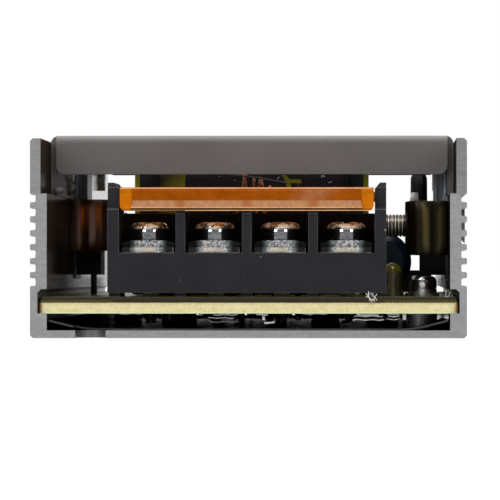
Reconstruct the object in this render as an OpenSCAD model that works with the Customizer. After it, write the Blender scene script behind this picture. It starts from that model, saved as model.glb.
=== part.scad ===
// Slim switching power supply: grooved aluminium channel with a folded mesh cover,
// a board in extruded slots, and a barrier terminal block with a hinged strip at each end.
// X is across the case, Y runs from the output end to the input end, Z is up from the base.

/* [Channel housing] */
// Length of the extruded channel
case_l = 165; // [155:1:200]
// Outer width of the channel
case_w = 62.5; // [62:0.5:72]
// Height of the side walls
wall_h = 28.6; // [28.2:0.1:34]
// Side wall thickness beside the board
wall_t = 2.4; // [2.2:0.1:2.8]
// Side wall thickness above the cover ledge
upper_t = 1.5; // [1.2:0.1:1.8]
// Floor thickness
floor_t = 1.1; // [0.9:0.1:1.6]
// Height of the cover ledge above the base
ledge_z = 20.7; // [20:0.1:22]
// Chamfer on the long outer edges
edge_c = 0.4; // [0.2:0.1:0.6]

/* [Cooling grooves] */
// Number of grooves in each side wall
groove_n = 7; // [4:1:7]
// Spacing of the grooves
groove_pitch = 2; // [1.8:0.1:2]
// Height of a groove
groove_h = 1.1; // [0.7:0.1:1.2]
// Depth of a groove
groove_d = 0.8; // [0.5:0.05:0.9]
// Height of the lowest groove's centre
groove_z = 8; // [7:0.5:8]
// Chamfer on the edges of a groove
groove_c = 0.15; // [0.1:0.05:0.3]

/* [Mounting holes and notches] */
// Spacing of the base holes across the case
mount_x = 36; // [30:1:42]
// Spacing of the base holes along the case
mount_y = 120; // [110:1:124]
// Radius of the tapped base holes
mount_r = 1.6; // [1.5:0.05:2]
// Width of the open-ended mounting notch
notch_w = 4.4; // [3.5:0.1:5]
// Length of the mounting notch
notch_l = 5; // [4:0.5:7]
// Distance of the notch from the centre line
notch_x = 22.6; // [20:0.1:24]

/* [Mesh cover] */
// Sheet thickness
cover_t = 1; // [0.8:0.1:1.2]
// Height of the cover's top above the side walls
cover_rise = 0.9; // [0.6:0.1:1.5]
// Setback of the cover from each end of the channel
cover_set = 18; // [17.5:0.5:22]
// Height of the folded lip at the output end
lip_h = 5.7; // [4:0.1:6.5]
// Height of the folded lip at the mains end
rear_lip_h = 3.2; // [3:0.1:6]
// Sideways gap between an end lip and the side flanges
lip_side = 0.9; // [0.6:0.1:1.5]
// Outer bend radius
bend_r = 1.2; // [1.1:0.1:2]
// Corner radius of the end lips
lip_r = 1.3; // [0.8:0.1:2]
// Corner relief between lip and flange
relief_l = 1.6; // [1.2:0.1:3]
// Width of a mesh hole across its flats
mesh_d = 4.8; // [3.5:0.1:5]
// Web between two mesh holes
mesh_web = 1.3; // [1:0.1:2]
// Plain border around the mesh
mesh_edge = 4; // [3:0.5:8]
// Side clearance of the cover in the channel
cover_gap = 0.1; // [0.05:0.05:0.2]
// Distance of the cover screws from the cover's ends
cover_screw_y = 24; // [21:0.5:27]
// Radius of the cover screws' thread
cover_screw_r = 1.5; // [1.25:0.05:1.6]
// Length of a cover screw
cover_screw_l = 3.5; // [3:0.5:6]

/* [Circuit board] */
// Board thickness
board_t = 2.4; // [1.6:0.1:2.4]
// Height of the board's underside above the base
slot_z = 3.5; // [3.3:0.1:4.2]
// Height of the extruded slot
slot_h = 3.5; // [2.6:0.1:3.5]
// Depth of the extruded slot
slot_d = 1.35; // [1:0.05:1.5]
// Side clearance of the board in the slots
board_gap = 0.2; // [0.1:0.05:0.4]
// Setback of the board from each end
board_set = 0.5; // [0.3:0.1:2]
// Height of the break-off bevel on the board's ends
bevel_h = 0.86; // [0.3:0.02:1]
// Radius of a standoff
standoff_r = 2.35; // [2.2:0.05:3]
// Radius of a board screw's thread
board_screw_r = 1.25; // [1:0.05:1.5]
// Radius of a board screw's head
board_head_r = 2.1; // [1.9:0.1:2.4]
// Height of a board screw's head
board_head_h = 1.9; // [1.4:0.1:2.2]
// Distance of the board screws from the inner side walls
board_screw_in = 3.8; // [3.2:0.1:4.4]
// Distance of the board screws from the ends
board_screw_y = 17; // [16:0.5:20]
// Thickness of the insulating film
film_t = 0.25; // [0.1:0.05:0.4]
// Height that the film's edges curl up to
film_h = 2.5; // [1.8:0.1:3]
// Width of the curl along each edge of the film
film_curl = 5; // [2:0.5:8]

/* [Terminal blocks] */
// Spacing of the terminals
term_pitch = 9.5; // [9.3:0.1:10]
// Thickness of an inner barrier
barrier_t = 1.33; // [1:0.01:1.6]
// Thickness of an end post
post_t = 1.65; // [1.4:0.05:2]
// Depth of a terminal block
block_d = 14.5; // [14:0.1:16]
// Height of the feet under a block
foot_h = 0.57; // [0.3:0.01:1]
// Height of the terminal deck above the board
deck_h = 6.3; // [5.5:0.1:7]
// Height of the inner barriers above the board
barrier_h = 13.4; // [12.5:0.1:13.6]
// Height of the end posts above the board
post_h = 16.4; // [16:0.1:17]
// Setback of the upper front part of barriers and posts
post_step = 1.6; // [1.5:0.1:2]
// Distance of the terminal screws from the block's face
screw_y = 7; // [6.5:0.1:7.5]
// Radius of a terminal screw's thread
term_r = 1.5; // [1.4:0.05:1.75]
// Radius of a terminal screw's head
head_r = 2.95; // [2.6:0.05:3.2]
// Height of a terminal screw's head
head_h = 2.65; // [2:0.05:2.8]
// Thickness of the contact plates
contact_t = 0.8; // [0.6:0.1:1]
// Width of a contact's front tab
tab_w = 3.3; // [2.5:0.1:4]
// Width of a square clamp plate
clamp_w = 7.6; // [6.5:0.1:7.7]
// Thickness of a square clamp plate
clamp_t = 1.0; // [0.8:0.1:1.2]
// Number of output terminals
out_n = 4; // [3:1:4]
// Number of input terminals
in_n = 3; // [2:1:4]
// Offset of the output block from the centre line
out_x = -0.25; // [-1:0.05:0]
// Setback of the blocks from the ends of the channel
block_set = 1; // [0.8:0.1:1.2]

/* [Hinged strips] */
// Thickness of the strip's plate
strip_t = 1.2; // [1:0.1:1.3]
// Height of the strip's front lip
strip_lip = 3.4; // [3:0.1:3.8]
// Height of the strip's top above the board
strip_h = 15.7; // [15.6:0.1:16]
// Side clearance between strip and posts
strip_gap = 0.15; // [0.1:0.05:0.5]
// Distance of the hinge from the block's face
hinge_y = 12.3; // [11.5:0.1:12.5]
// Radius of the hinge pins
pin_r = 0.75; // [0.6:0.05:0.8]
// Radial clearance of the hinge pins
pin_gap = 0.05; // [0.03:0.01:0.1]
// Length of a hinge pin inside its post
pin_l = 1.3; // [1:0.1:1.4]

/* [Power devices] */
// Width of a device along the wall
dev_w = 10.4; // [10:0.1:10.6]
// Height of a device's moulded body
dev_h = 9.2; // [9:0.1:9.6]
// Height of a device's metal tab above the body
tab_h = 6.3; // [6:0.1:6.6]
// Thickness of a device
dev_t = 3.8; // [3.6:0.1:4.6]
// Height of the devices' lower ends above the base
dev_z = 9; // [8.6:0.1:9.6]
// Thickness of a silicone pad
pad_t = 0.3; // [0.2:0.05:0.4]
// Wall thickness of the silicone sheath over a device's tab
sheath_t = 0.4; // [0.3:0.05:0.5]
// Distance of the output rectifier's centre from the front end
rect_y = 28; // [27:0.5:34]
// Distance of the switching transistor's centre from the front end
switch_y = 66; // [62:0.5:70]
// Height of a clamp
side_clamp_h = 7.7; // [6:0.1:8]
// Thickness of a clamp
side_clamp_t = 1.2; // [1:0.1:1.5]
// Height of a clamp's lower edge above the base on the output side
rect_clamp_z = 12; // [11:0.1:12.4]
// Height of a clamp's lower edge above the base on the mains side
switch_clamp_z = 12.8; // [11:0.1:12.8]
// Radius of the clamp screws' thread
side_screw_r = 1.5; // [1.25:0.05:1.6]
// Length of the output side clamp screw from the outer wall
side_screw_l = 12.2; // [10:0.1:13]
// Clearance between the mains side clamp screw and the transformer
screw_room = 1.2; // [0.8:0.1:3]
// Height of a clamp screw above the middle of its clamp
side_screw_rise = 0.4; // [0:0.1:0.6]

/* [Transformer] */
// Distance of the transformer's centre from the front end
trafo_y = 60; // [58:0.5:64]
// Offset of the transformer from the centre line
trafo_x = -1; // [-2:0.1:0]
// Width of the transformer across the case
trafo_w = 36.2; // [32:0.1:36.4]
// Length of the core along the case
trafo_l = 30; // [26:0.5:32]
// Height of the core above the board
trafo_h = 21.2; // [17:0.1:21.4]
// Height of the core's underside above the board
trafo_base = 1.6; // [1.2:0.1:2.4]
// Thickness of the core's backs and outer legs
core_leg = 2.2; // [1.8:0.1:3]
// Radius of the core's middle leg
middle_r = 4; // [3.5:0.1:4.5]
// Depth of the core's ferrite body
core_d = 11; // [9:0.5:12]
// Thickness of the bobbin's walls
bobbin_t = 0.8; // [0.6:0.1:1.2]
// Thickness of the tape wrapped around the core
tape_t = 0.8; // [0.3:0.1:1]

/* [Other parts on the board] */
// Radius of the bulk capacitor
bulk_r = 10; // [8:0.5:11]
// Height of the bulk capacitor
bulk_h = 20.5; // [18:0.5:21]
// Radius of an output capacitor
out_cap_r = 4; // [3:0.25:4.5]
// Height of an output capacitor
out_cap_h = 12; // [9:0.5:13]
// Number of output capacitors
out_cap_n = 3; // [1:1:3]
// Outer radius of the output choke
choke_r = 8; // [6.5:0.25:8.5]
// Radius of the power light
led_r = 1.5; // [1.25:0.05:1.5]
// Height of the power light above the board
led_h = 4.9; // [4:0.1:6]
// Radius of a disc capacitor
disc_r = 4.5; // [3.5:0.25:5]
// Thickness of a disc capacitor
disc_t = 3.6; // [2.5:0.1:4]
// Width of the line filter capacitor
box_w = 18; // [15:0.5:18]
// Thickness of the line filter capacitor
box_t = 8.5; // [6:0.5:10]
// Height of the line filter capacitor
box_h = 14.5; // [11:0.5:16]
// Radius of the inrush thermistor
ntc_r = 5.5; // [4:0.25:6]
// Thickness of the inrush thermistor
ntc_t = 2.7; // [2.4:0.1:4]
// Height of the inrush thermistor's lower edge above the board
ntc_lift = 9.3; // [1:0.1:9.6]
// Length of the control chip
chip_l = 9.8; // [9:0.1:10]
// Length of the optocoupler
opto_l = 4.6; // [4.2:0.1:5]
// Width of the chips' bodies
chip_w = 6.4; // [6:0.1:6.6]
// Height of the chips' bodies
chip_h = 3.3; // [3:0.1:3.6]
// Spacing of the chips' legs
leg_pitch = 2.54; // [2.5:0.01:2.54]
// Radius of the component leads
lead_r = 0.4; // [0.3:0.05:0.45]
// Length of the leads under the board
lead_tail = 1.2; // [0.6:0.1:1.4]

/* [Hidden] */
$fn = 48;
eps = 0.01;
// Slack of a lead, pin or screw in the hole that it passes through.
fit = 0.05;
// Room around a post or screw that the film is cut away for.
film_room = 0.3;
half_w = case_w / 2;
front = -case_l / 2;
inner = half_w - wall_t;
board_w = case_w - 2 * (wall_t - slot_d) - 2 * board_gap;
board_l = case_l - 2 * board_set;
board_top = slot_z + board_t;
cover_top = wall_h + cover_rise;
cover_half = half_w - upper_t - cover_gap;
cover_y = front + cover_set;
cover_l = case_l - 2 * cover_set;
board_screw_x = inner - board_screw_in;
switch_screw_l = half_w - trafo_w / 2 + trafo_x - screw_room;
hinge_z = strip_h - strip_t;
knuckle_r = strip_t;
// Board screws: right front, left rear and right rear corners, as [side, distance from front].
board_fixings = [[1, board_screw_y], [-1, case_l - board_screw_y], [1, case_l - board_screw_y]];
// Output capacitors in a row behind the output block.
out_cap_x = [for (i = [0:out_cap_n - 1]) -14 + i * (2 * out_cap_r + 1.5)];
out_cap_y = block_set + block_d + out_cap_r + 2.5;
choke_x = -9;
choke_y = out_cap_y + out_cap_r + choke_r + 2;
choke_t = 6;
// Disc capacitors, as [x, distance from front, turn about Z].
discs = [[inner - 9.75, 40, 0], [inner - 8.35, 112, 90]];
disc_lift = 0.6;
led_x = inner - 8.25;
led_y = 17.6;
bulk_x = -7;
bulk_y = trafo_y + trafo_l / 2 + bulk_r + 3;
bridge_x = inner - 14.85;
bridge_y = bulk_y + 2;
bridge_w = 14.6;
bridge_t = 3.6;
bridge_h = 10.6;
line_x = -7.5;
line_y = bulk_y + bulk_r + 12.5;
line_r = 8.6;
line_t = 6.5;
boxcap_x = 6.5 + box_t / 2;
boxcap_y = line_y;
mov_x = -6;
mov_y = case_l - block_set - block_d - 5.5;
// The thermistor stands on raised leads near the wall, its edge to the front.
ntc_x = inner - 3.5;
ntc_y = bridge_y + 17;
ntc_lead = 1;
small_disc_r = 5;
small_disc_t = 4;
fuse_x = 12.5;
fuse_y = mov_y;
fuse_r = 2.6;
fuse_l = 12.5;
// The chips stand midway between the transformer and the side wall.
chip_x = (trafo_x + trafo_w / 2 + inner) / 2;
chip_y = trafo_y - 4;
opto_y = chip_y + 12;

// ---------- helpers ----------

// Places children at a distance behind the front end.
module at(x, y, z = 0) {
  translate([x, front + y, z]) children();
}

// Extrudes a YZ profile along X, centred.
module along_x(w) {
  translate([-w / 2, 0, 0]) rotate([90, 0, 90]) linear_extrude(w) children();
}

// Extrudes an XZ profile along +Y.
module along_y(l) {
  translate([0, l, 0]) rotate([90, 0, 0]) linear_extrude(l) children();
}

function unit(v) = v / norm(v);
function left_of(v) = [-v[1], v[0]];

// Rounds the corner at b between a and c, with a setback of r along each side.
function bend_at(a, b, c, r) = [
  for (k = [0:4])
    let (t = k / 4, s = b + r * unit(a - b), e = b + r * unit(c - b))
      (1 - t) * (1 - t) * s + 2 * t * (1 - t) * b + t * t * e
];

// A path with every inner corner rounded.
function bent_path(pts, r) = concat(
  [pts[0]],
  flat_list([for (i = [1:len(pts) - 2]) bend_at(pts[i - 1], pts[i], pts[i + 1], r)]),
  [pts[len(pts) - 1]]
);

// The path moved sideways by d, with mitred corners.
function beside(pts, d) = [
  for (i = [0:len(pts) - 1])
    let (
      a = left_of(unit(pts[max(i, 1)] - pts[max(i, 1) - 1])),
      b = left_of(unit(pts[min(i, len(pts) - 2) + 1] - pts[min(i, len(pts) - 2)]))
    )
      pts[i] + d * (a + b) / (1 + a * b)
];

// A bent strip of even thickness through the given points, with bends set back by r.
module strip(pts, t, r) {
  path = bent_path(pts, r);
  back = beside(path, -t / 2);
  n = len(back);
  polygon(concat(beside(path, t / 2), [for (i = [n - 1:-1:0]) back[i]]));
}

// A rectangle with rounded corners, its corner at the origin.
module round_rect(w, h, r) {
  translate([r, 0]) square([w - 2 * r, h]);
  translate([0, r]) square([w, h - 2 * r]);
  for (x = [r, w - r], y = [r, h - r]) translate([x, y]) circle(r);
}

// A box with rounded upright edges, centred in X and Y.
module round_box(w, d, h, r) {
  translate([-w / 2, -d / 2, 0]) linear_extrude(h) round_rect(w, d, r);
}

// A pan head with a flat top and rounded edge, standing on Z = 0.
module pan_head(r, h) {
  rotate_extrude() polygon(concat(
    [[0, 0], [r - 0.15, 0], [r, 0.15]], bend_at([r, 0], [r, h], [0, h], 0.52 * h), [[0, h]]
  ));
}

// A cross recess with a longer driver slot, cut down from Z = 0.
module cross_recess(r, depth) {
  translate([-r, -0.45, -depth]) cube([2 * r, 0.9, depth + 1]);
  translate([-0.45, -0.62 * r, -depth]) cube([0.9, 1.24 * r, depth + 1]);
}

// A countersunk screw with its flat head at Z = 0 and its shank along -Z.
module flat_screw(r, l) {
  head = r * 1.75;
  difference() {
    union() {
      translate([0, 0, -l]) cylinder(r = r, h = l);
      translate([0, 0, -(head - r)]) cylinder(r1 = r, r2 = head, h = head - r);
    }
    translate([0, 0, 0]) cross_recess(0.75 * head, 0.6 * (head - r));
  }
}

// The hole for a countersunk screw, with its mouth at Z = 0.
module flat_screw_hole(r, l) {
  head = r * 1.75 + fit;
  translate([0, 0, -l]) cylinder(r = r + fit, h = l + 1);
  translate([0, 0, -(head - r - fit)]) cylinder(r1 = r + fit, r2 = head, h = head - r - fit);
  cylinder(r = head, h = 1);
}

// A straight lead from a component down through the board.
module lead(top) {
  translate([0, 0, -board_t - lead_tail]) cylinder(r = lead_r, h = board_t + lead_tail + top);
}

// ---------- channel ----------

// Half of one groove's outline, from its lower to its upper edge.
function groove(z) = [
  [half_w, z - groove_h / 2 - groove_c],
  [half_w - groove_c, z - groove_h / 2],
  [half_w - groove_d + groove_c, z - groove_h / 2],
  [half_w - groove_d, z - groove_h / 2 + groove_c],
  [half_w - groove_d, z + groove_h / 2 - groove_c],
  [half_w - groove_d + groove_c, z + groove_h / 2],
  [half_w - groove_c, z + groove_h / 2],
  [half_w, z + groove_h / 2 + groove_c]
];

function flat_list(l) = [for (a = l) for (b = a) b];

// Right half of the extruded section.
half_section = concat(
  [[half_w - edge_c, 0], [half_w, edge_c]],
  flat_list([for (i = [0:groove_n - 1]) groove(groove_z + i * groove_pitch)]),
  [
    [half_w, wall_h - edge_c],
    [half_w - edge_c, wall_h],
    [half_w - upper_t, wall_h],
    [half_w - upper_t, ledge_z],
    [inner, ledge_z],
    [inner, slot_z + slot_h],
    [inner + slot_d - 0.5, slot_z + slot_h],
    [inner + slot_d, slot_z + slot_h - 0.5],
    [inner + slot_d, slot_z],
    [inner, slot_z],
    [inner, floor_t]
  ]
);
half_n = len(half_section);
full_section = concat(
  half_section,
  [for (i = [half_n - 1:-1:0]) [-half_section[i][0], half_section[i][1]]]
);

module mount_points() {
  for (x = [-1, 1], y = [-1, 1]) translate([x * mount_x / 2, y * mount_y / 2, 0]) children();
}

// Runs children at the cover screws, with +Z pointing out of the side wall.
module cover_screw_points() {
  z = (ledge_z + wall_h) / 2;
  for (s = [-1, 1], e = [-1, 1])
    translate([s * half_w, e * (cover_l / 2 - cover_screw_y), z]) rotate([0, s * 90, 0]) children();
}

// Height of the screw in a side clamp.
function clamp_mid(z) = z + side_clamp_h / 2 + side_screw_rise;

// Runs children at a side clamp's screw, with +Z pointing out of the side wall.
module clamp_screw_point(side, y, z) {
  at(side * half_w, y - dev_w / 2 - 4.4, clamp_mid(z)) rotate([0, side * 90, 0]) children();
}

module notch() {
  translate([-notch_w / 2, -1, -1]) cube([notch_w, notch_l - notch_w / 2 + 1, floor_t + 2]);
  translate([0, notch_l - notch_w / 2, -1]) cylinder(d = notch_w, h = floor_t + 2);
}

module channel_housing() {
  color([0.62, 0.62, 0.62])
  difference() {
    translate([0, front, 0]) along_y(case_l) polygon(full_section);
    at(-notch_x, 0) notch();
    at(notch_x, case_l) rotate(180) notch();
    mount_points() translate([0, 0, -1]) cylinder(r = mount_r, h = floor_t + 2);
    cover_screw_points() flat_screw_hole(cover_screw_r, cover_screw_l);
    clamp_screw_point(1, rect_y, rect_clamp_z) flat_screw_hole(side_screw_r, wall_t + 1);
    clamp_screw_point(-1, switch_y, switch_clamp_z) flat_screw_hole(side_screw_r, wall_t + 1);
  }
}

// ---------- cover ----------

// One quarter of a folded corner, its bend centre at the origin, in the corner -X, +Z.
module fold() {
  intersection() {
    difference() {
      circle(bend_r);
      circle(bend_r - cover_t);
    }
    translate([-bend_r - 1, 0]) square(bend_r + 1);
  }
}

// The right side flange with its fold, seen along the case.
module flange_section() {
  x = cover_half;
  translate([x - cover_t, ledge_z]) square([cover_t, cover_top - bend_r - ledge_z]);
  translate([x - bend_r, cover_top - bend_r]) mirror([1, 0]) fold();
}

// One folded end lip in side view, with its outer face at Y = 0.
module lip_profile(h) {
  translate([0, cover_top - h]) square([cover_t, h - bend_r]);
  translate([bend_r, cover_top - bend_r]) fold();
}

lip_w = 2 * (cover_half - lip_side);

module end_lip(h) {
  intersection() {
    along_x(lip_w) lip_profile(h);
    translate([-lip_w / 2, -1, cover_top - h]) along_y(bend_r + relief_l + 2) union() {
      translate([lip_r, 0]) square([lip_w - 2 * lip_r, h]);
      translate([0, lip_r]) square([lip_w, h - lip_r]);
      for (x = [lip_r, lip_w - lip_r]) translate([x, lip_r]) circle(lip_r);
    }
  }
}

module mesh_holes() {
  px = mesh_d + mesh_web;
  py = px * sqrt(3) / 2;
  nx = floor((cover_half - mesh_edge) / px);
  ny = floor((cover_l / 2 - mesh_edge - relief_l) / py);
  r = mesh_d / sqrt(3);
  for (j = [-ny:ny])
    for (i = [-nx:nx - (j % 2 == 0 ? 0 : 1)])
      translate([(i + (j % 2 == 0 ? 0 : 0.5)) * px, j * py]) rotate(30) circle(r, $fn = 6);
}

// The cover's perforated top, up to its folds.
module mesh_cover() {
  x = cover_half - bend_r;
  color([0.40, 0.385, 0.38])
  difference() {
    translate([0, 0, cover_top - cover_t]) linear_extrude(cover_t) difference() {
      union() {
        translate([-x, cover_y + relief_l]) square([2 * x, cover_l - 2 * relief_l]);
        translate([-lip_w / 2, cover_y + bend_r])
          square([lip_w, relief_l - bend_r]);
        translate([-lip_w / 2, -cover_y - relief_l])
          square([lip_w, relief_l - bend_r]);
      }
      mesh_holes();
    }
  }
}

// The cover's folded side flanges and end lips.
module cover_flanges() {
  color([0.40, 0.385, 0.38])
  difference() {
    union() {
      for (s = [0, 1]) mirror([s, 0, 0])
        translate([0, cover_y + relief_l, 0]) along_y(cover_l - 2 * relief_l) flange_section();
      translate([0, cover_y, 0]) end_lip(lip_h);
      rotate(180) translate([0, cover_y, 0]) end_lip(rear_lip_h);
    }
    cover_screw_points() flat_screw_hole(cover_screw_r, cover_screw_l);
  }
}

module cover_screws() {
  color([0.45, 0.45, 0.46])
  cover_screw_points() flat_screw(cover_screw_r, cover_screw_l);
}

// ---------- board ----------

module board_points() {
  for (p = board_fixings) at(p[0] * board_screw_x, p[1]) children();
}

module circuit_board() {
  color([0.32, 0.30, 0.18])
  difference() {
    translate([0, 0, slot_z]) round_box(board_w, board_l, board_t, 1);
    for (s = [0, 180]) rotate(s) translate([0, -board_l / 2, board_top])
      rotate([30, 0, 0]) translate([-board_w, -2, -bevel_h / cos(30)])
        cube([2 * board_w, 2, 4]);
    board_points() translate([0, 0, slot_z - 1]) cylinder(r = board_screw_r + 0.1, h = board_t + 2);
    translate([0, 0, board_top]) all_leads(fit);
  }
}

module board_standoffs() {
  color([0.7, 0.7, 0.68])
  board_points() translate([0, 0, floor_t]) difference() {
    cylinder(r = standoff_r, h = slot_z - floor_t);
    translate([0, 0, -1]) cylinder(r = board_screw_r + fit, h = slot_z - floor_t + 2);
  }
}

module board_screws() {
  washer = 0.5;
  spring = 0.6;
  color([0.72, 0.72, 0.72])
  board_points() translate([0, 0, board_top]) {
    difference() {
      union() {
        cylinder(r = board_head_r + 0.4, h = washer);
        translate([0, 0, washer]) cylinder(r = board_head_r, h = spring);
        translate([0, 0, washer + spring]) pan_head(board_head_r, board_head_h);
        translate([0, 0, -board_t - 2]) cylinder(r = board_screw_r, h = board_t + 2 + eps);
      }
      translate([0, 0, washer + spring + board_head_h]) cross_recess(0.6 * board_head_r, 1.1);
    }
  }
}

module insulating_film() {
  x = inner - fit - film_t;
  b = floor_t + film_t / 2;
  color([0.06, 0.065, 0.07])
  difference() {
    translate([0, front + board_set, 0]) along_y(board_l) intersection() {
      strip([[-x, film_h], [-x + film_curl, b], [x - film_curl, b], [x, film_h]], film_t,
        0.4 * film_curl);
      translate([-x - film_t / 2, 0]) square([2 * x + film_t, slot_z - 0.3]);
    }
    board_points() cylinder(r = standoff_r + film_room, h = film_h + 1);
    mount_points() cylinder(r = mount_r + film_room + 0.5, h = film_h + 1);
    at(-notch_x, 0) scale([1.15, 1.1, 1]) notch_room();
    at(notch_x, case_l) rotate(180) scale([1.15, 1.1, 1]) notch_room();
  }
}

module notch_room() {
  translate([-notch_w / 2, -1, -1]) cube([notch_w, notch_l + 1, film_h + 3]);
}

// ---------- terminal blocks ----------

function block_w(n) = n * term_pitch - barrier_t + 2 * post_t;
function cell_x(n, i) = (i - (n - 1) / 2) * term_pitch;

// Places children in a block's frame: X across, Y from its face inwards, Z from the board.
module out_frame() {
  at(out_x, block_set, board_top) children();
}

module in_frame() {
  rotate(180) at(0, block_set, board_top) children();
}

module block_body(n) {
  w = block_w(n);
  wall_y = block_d - 2.2;
  difference() {
    union() {
      translate([-w / 2, 0, foot_h]) cube([w, block_d, deck_h - foot_h]);
      translate([-w / 2, wall_y, deck_h - eps])
        cube([w, block_d - wall_y, barrier_h - 1.3 - deck_h]);
      for (i = [0:n]) translate([(i - n / 2) * term_pitch, 0, 0]) {
        translate([-0.8, 0.6, 0]) cube([1.6, 2.4, foot_h + eps]);
        translate([-0.8, block_d - 3, 0]) cube([1.6, 2.4, foot_h + eps]);
      }
      for (i = [1:n - 1]) translate([(i - n / 2) * term_pitch, 0, 0])
        along_x(barrier_t) polygon([
          [0, foot_h], [0, strip_h - strip_lip - strip_gap - 0.2],
          [0.2, strip_h - strip_lip - strip_gap], [post_step, strip_h - strip_lip - strip_gap],
          [post_step, barrier_h - 0.3], [post_step + 0.3, barrier_h],
          [hinge_y - knuckle_r - 1.6, barrier_h], [hinge_y - knuckle_r - 0.8, barrier_h - 1.2],
          [block_d, barrier_h - 1.2], [block_d, foot_h]
        ]);
      for (s = [-1, 1]) intersection() {
        translate([s * (w - post_t) / 2, 0, 0]) along_x(post_t) polygon([
          [0, foot_h], [0, 12.5], [0.2, 12.7], [post_step - 0.3, 12.7],
          [post_step - 0.3, post_h - 0.7], [post_step + 0.4, post_h],
          [block_d - 0.7, post_h], [block_d, post_h - 0.7], [block_d, foot_h]
        ]);
        translate([0, -1, 0]) along_y(block_d + 2) polygon([
          [s * w / 2, 0], [s * w / 2, post_h + 1],
          [s * (w / 2 - 0.55 * post_t), post_h + 1], [s * (w / 2 - 0.55 * post_t), post_h],
          [s * (w / 2 - post_t), post_h - 0.9], [s * (w / 2 - post_t), 0]
        ]);
      }
    }
    for (i = [0:n - 1]) translate([cell_x(n, i), screw_y, -1])
      cylinder(r = term_r + 0.3, h = deck_h + 2);
    for (i = [0:n - 1]) translate([cell_x(n, i), screw_y, -1]) cylinder(r = 2.6, h = 4.2);
    for (i = [0:n - 1]) translate([cell_x(n, i) - 1.3, leg_y - 0.5, -1])
      cube([2.6, contact_t + 1, deck_h + 2]);
    translate([0, hinge_y, hinge_z]) rotate([0, 90, 0])
      translate([0, 0, -w]) cylinder(r = pin_r + pin_gap, h = 2 * w);
    for (i = [0:n - 1]) translate([cell_x(n, i) - 3.6, block_d - 1, 1.2]) cube([7.2, 2, 8]);
  }
}

leg_y = screw_y + 3.2;
// How the screws happen to be turned.
slot_turns = [130, 48, 52, 92];

module contacts(n) {
  for (i = [0:n - 1]) translate([cell_x(n, i), 0, deck_h]) difference() {
    union() {
      translate([-3.6, screw_y - 3.2, 0]) cube([7.2, 6.4 + contact_t, contact_t]);
      translate([-tab_w / 2, 0.5, 0]) cube([tab_w, screw_y - 3, contact_t]);
      translate([-1.1, leg_y, -deck_h - board_t - lead_tail])
        cube([2.2, contact_t, deck_h + board_t + lead_tail + eps]);
    }
    translate([0, screw_y, -1]) cylinder(r = term_r + fit, h = contact_t + 2);
  }
}

module clamp_plates(n) {
  h = clamp_w / 2;
  for (i = [0:n - 1]) translate([cell_x(n, i), 0, deck_h + contact_t]) difference() {
    translate([0, screw_y - 3.3, 0]) along_y(6.6) polygon([
      [-h, 0.35], [-h + 0.3, 0], [h - 0.3, 0], [h, 0.35], [h, clamp_t - 0.35],
      [h - 1.3, clamp_t], [-h + 1.3, clamp_t], [-h, clamp_t - 0.35]
    ]);
    translate([0, screw_y, -1]) cylinder(r = term_r + fit, h = clamp_t + 2);
    for (y = [-2.4, -1.2, 1.2, 2.4])
      translate([-clamp_w, screw_y + y, 0]) rotate([45, 0, 0])
        translate([0, -0.18, -0.18]) cube([2 * clamp_w, 0.36, 0.36]);
  }
}

module terminal_screws(n) {
  shank = clamp_t + contact_t + 4.4;
  for (i = [0:n - 1]) translate([cell_x(n, i), screw_y, deck_h + contact_t + clamp_t]) {
    difference() {
      union() {
        pan_head(head_r, head_h);
        translate([0, 0, -shank]) cylinder(r = term_r, h = shank + eps);
      }
      translate([0, 0, head_h]) rotate(slot_turns[i % len(slot_turns)]) cross_recess(0.8 * head_r, 1.5);
    }
  }
}

// Hinged strip: plate, front lip with a raised label-free bar, rear knuckle and two pins.
module hinged_strip(n) {
  inside_w = n * term_pitch - barrier_t;
  w = inside_w - 2 * strip_gap;
  bar = w / 2 - 1.5;
  z0 = strip_h - strip_lip;
  difference() {
    union() {
      intersection() {
        along_x(w) polygon([
          [0.35, z0], [0.9 * strip_t, z0], [strip_t, z0 + 0.15], [strip_t, strip_h - strip_t],
          [hinge_y, strip_h - strip_t], [hinge_y, strip_h], [0.5, strip_h],
          [0, strip_h - 0.5], [0, z0 + 0.35]
        ]);
        translate([-w / 2, -1, 0]) along_y(block_d + 2) union() {
          translate([0.8, 0]) square([w - 1.6, strip_h + 1]);
          translate([0, z0 + 0.8]) square([w, strip_lip + 1]);
          for (x = [0.8, w - 0.8]) translate([x, z0 + 0.8]) circle(0.8);
        }
      }
      translate([0, hinge_y, hinge_z]) rotate([0, 90, 0])
        translate([0, 0, -w / 2]) cylinder(r = knuckle_r, h = w);
      translate([0, hinge_y, hinge_z]) rotate([0, 90, 0])
        translate([0, 0, -w / 2 - strip_gap - pin_l])
          cylinder(r = pin_r, h = w + 2 * (strip_gap + pin_l));
      translate([0, 0.02, 0]) mirror([0, 1, 0]) along_y(0.32) polygon([
        [-bar, z0 + 0.6], [bar, z0 + 0.6], [bar - 0.5, z0 + 1.8], [-bar + 0.5, z0 + 1.8]
      ]);
    }
    translate([-w, hinge_y + 0.2, strip_h]) cube([2 * w, 3, 3]);
  }
}

module output_terminal_block() {
  color([0.175, 0.175, 0.19]) out_frame() block_body(out_n);
}

module output_contacts() {
  color([0.69, 0.66, 0.62]) out_frame() contacts(out_n);
}

module output_clamp_plates() {
  color([0.62, 0.64, 0.63]) out_frame() clamp_plates(out_n);
}

module output_terminal_screws() {
  color([0.75, 0.74, 0.72]) out_frame() terminal_screws(out_n);
}

module output_terminal_cover() {
  color([0.78, 0.43, 0.08, 0.7]) out_frame() hinged_strip(out_n);
}

module input_terminal_block() {
  color([0.175, 0.175, 0.19]) in_frame() block_body(in_n);
}

module input_contacts() {
  color([0.69, 0.66, 0.62]) in_frame() contacts(in_n);
}

module input_clamp_plates() {
  color([0.62, 0.64, 0.63]) in_frame() clamp_plates(in_n);
}

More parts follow.
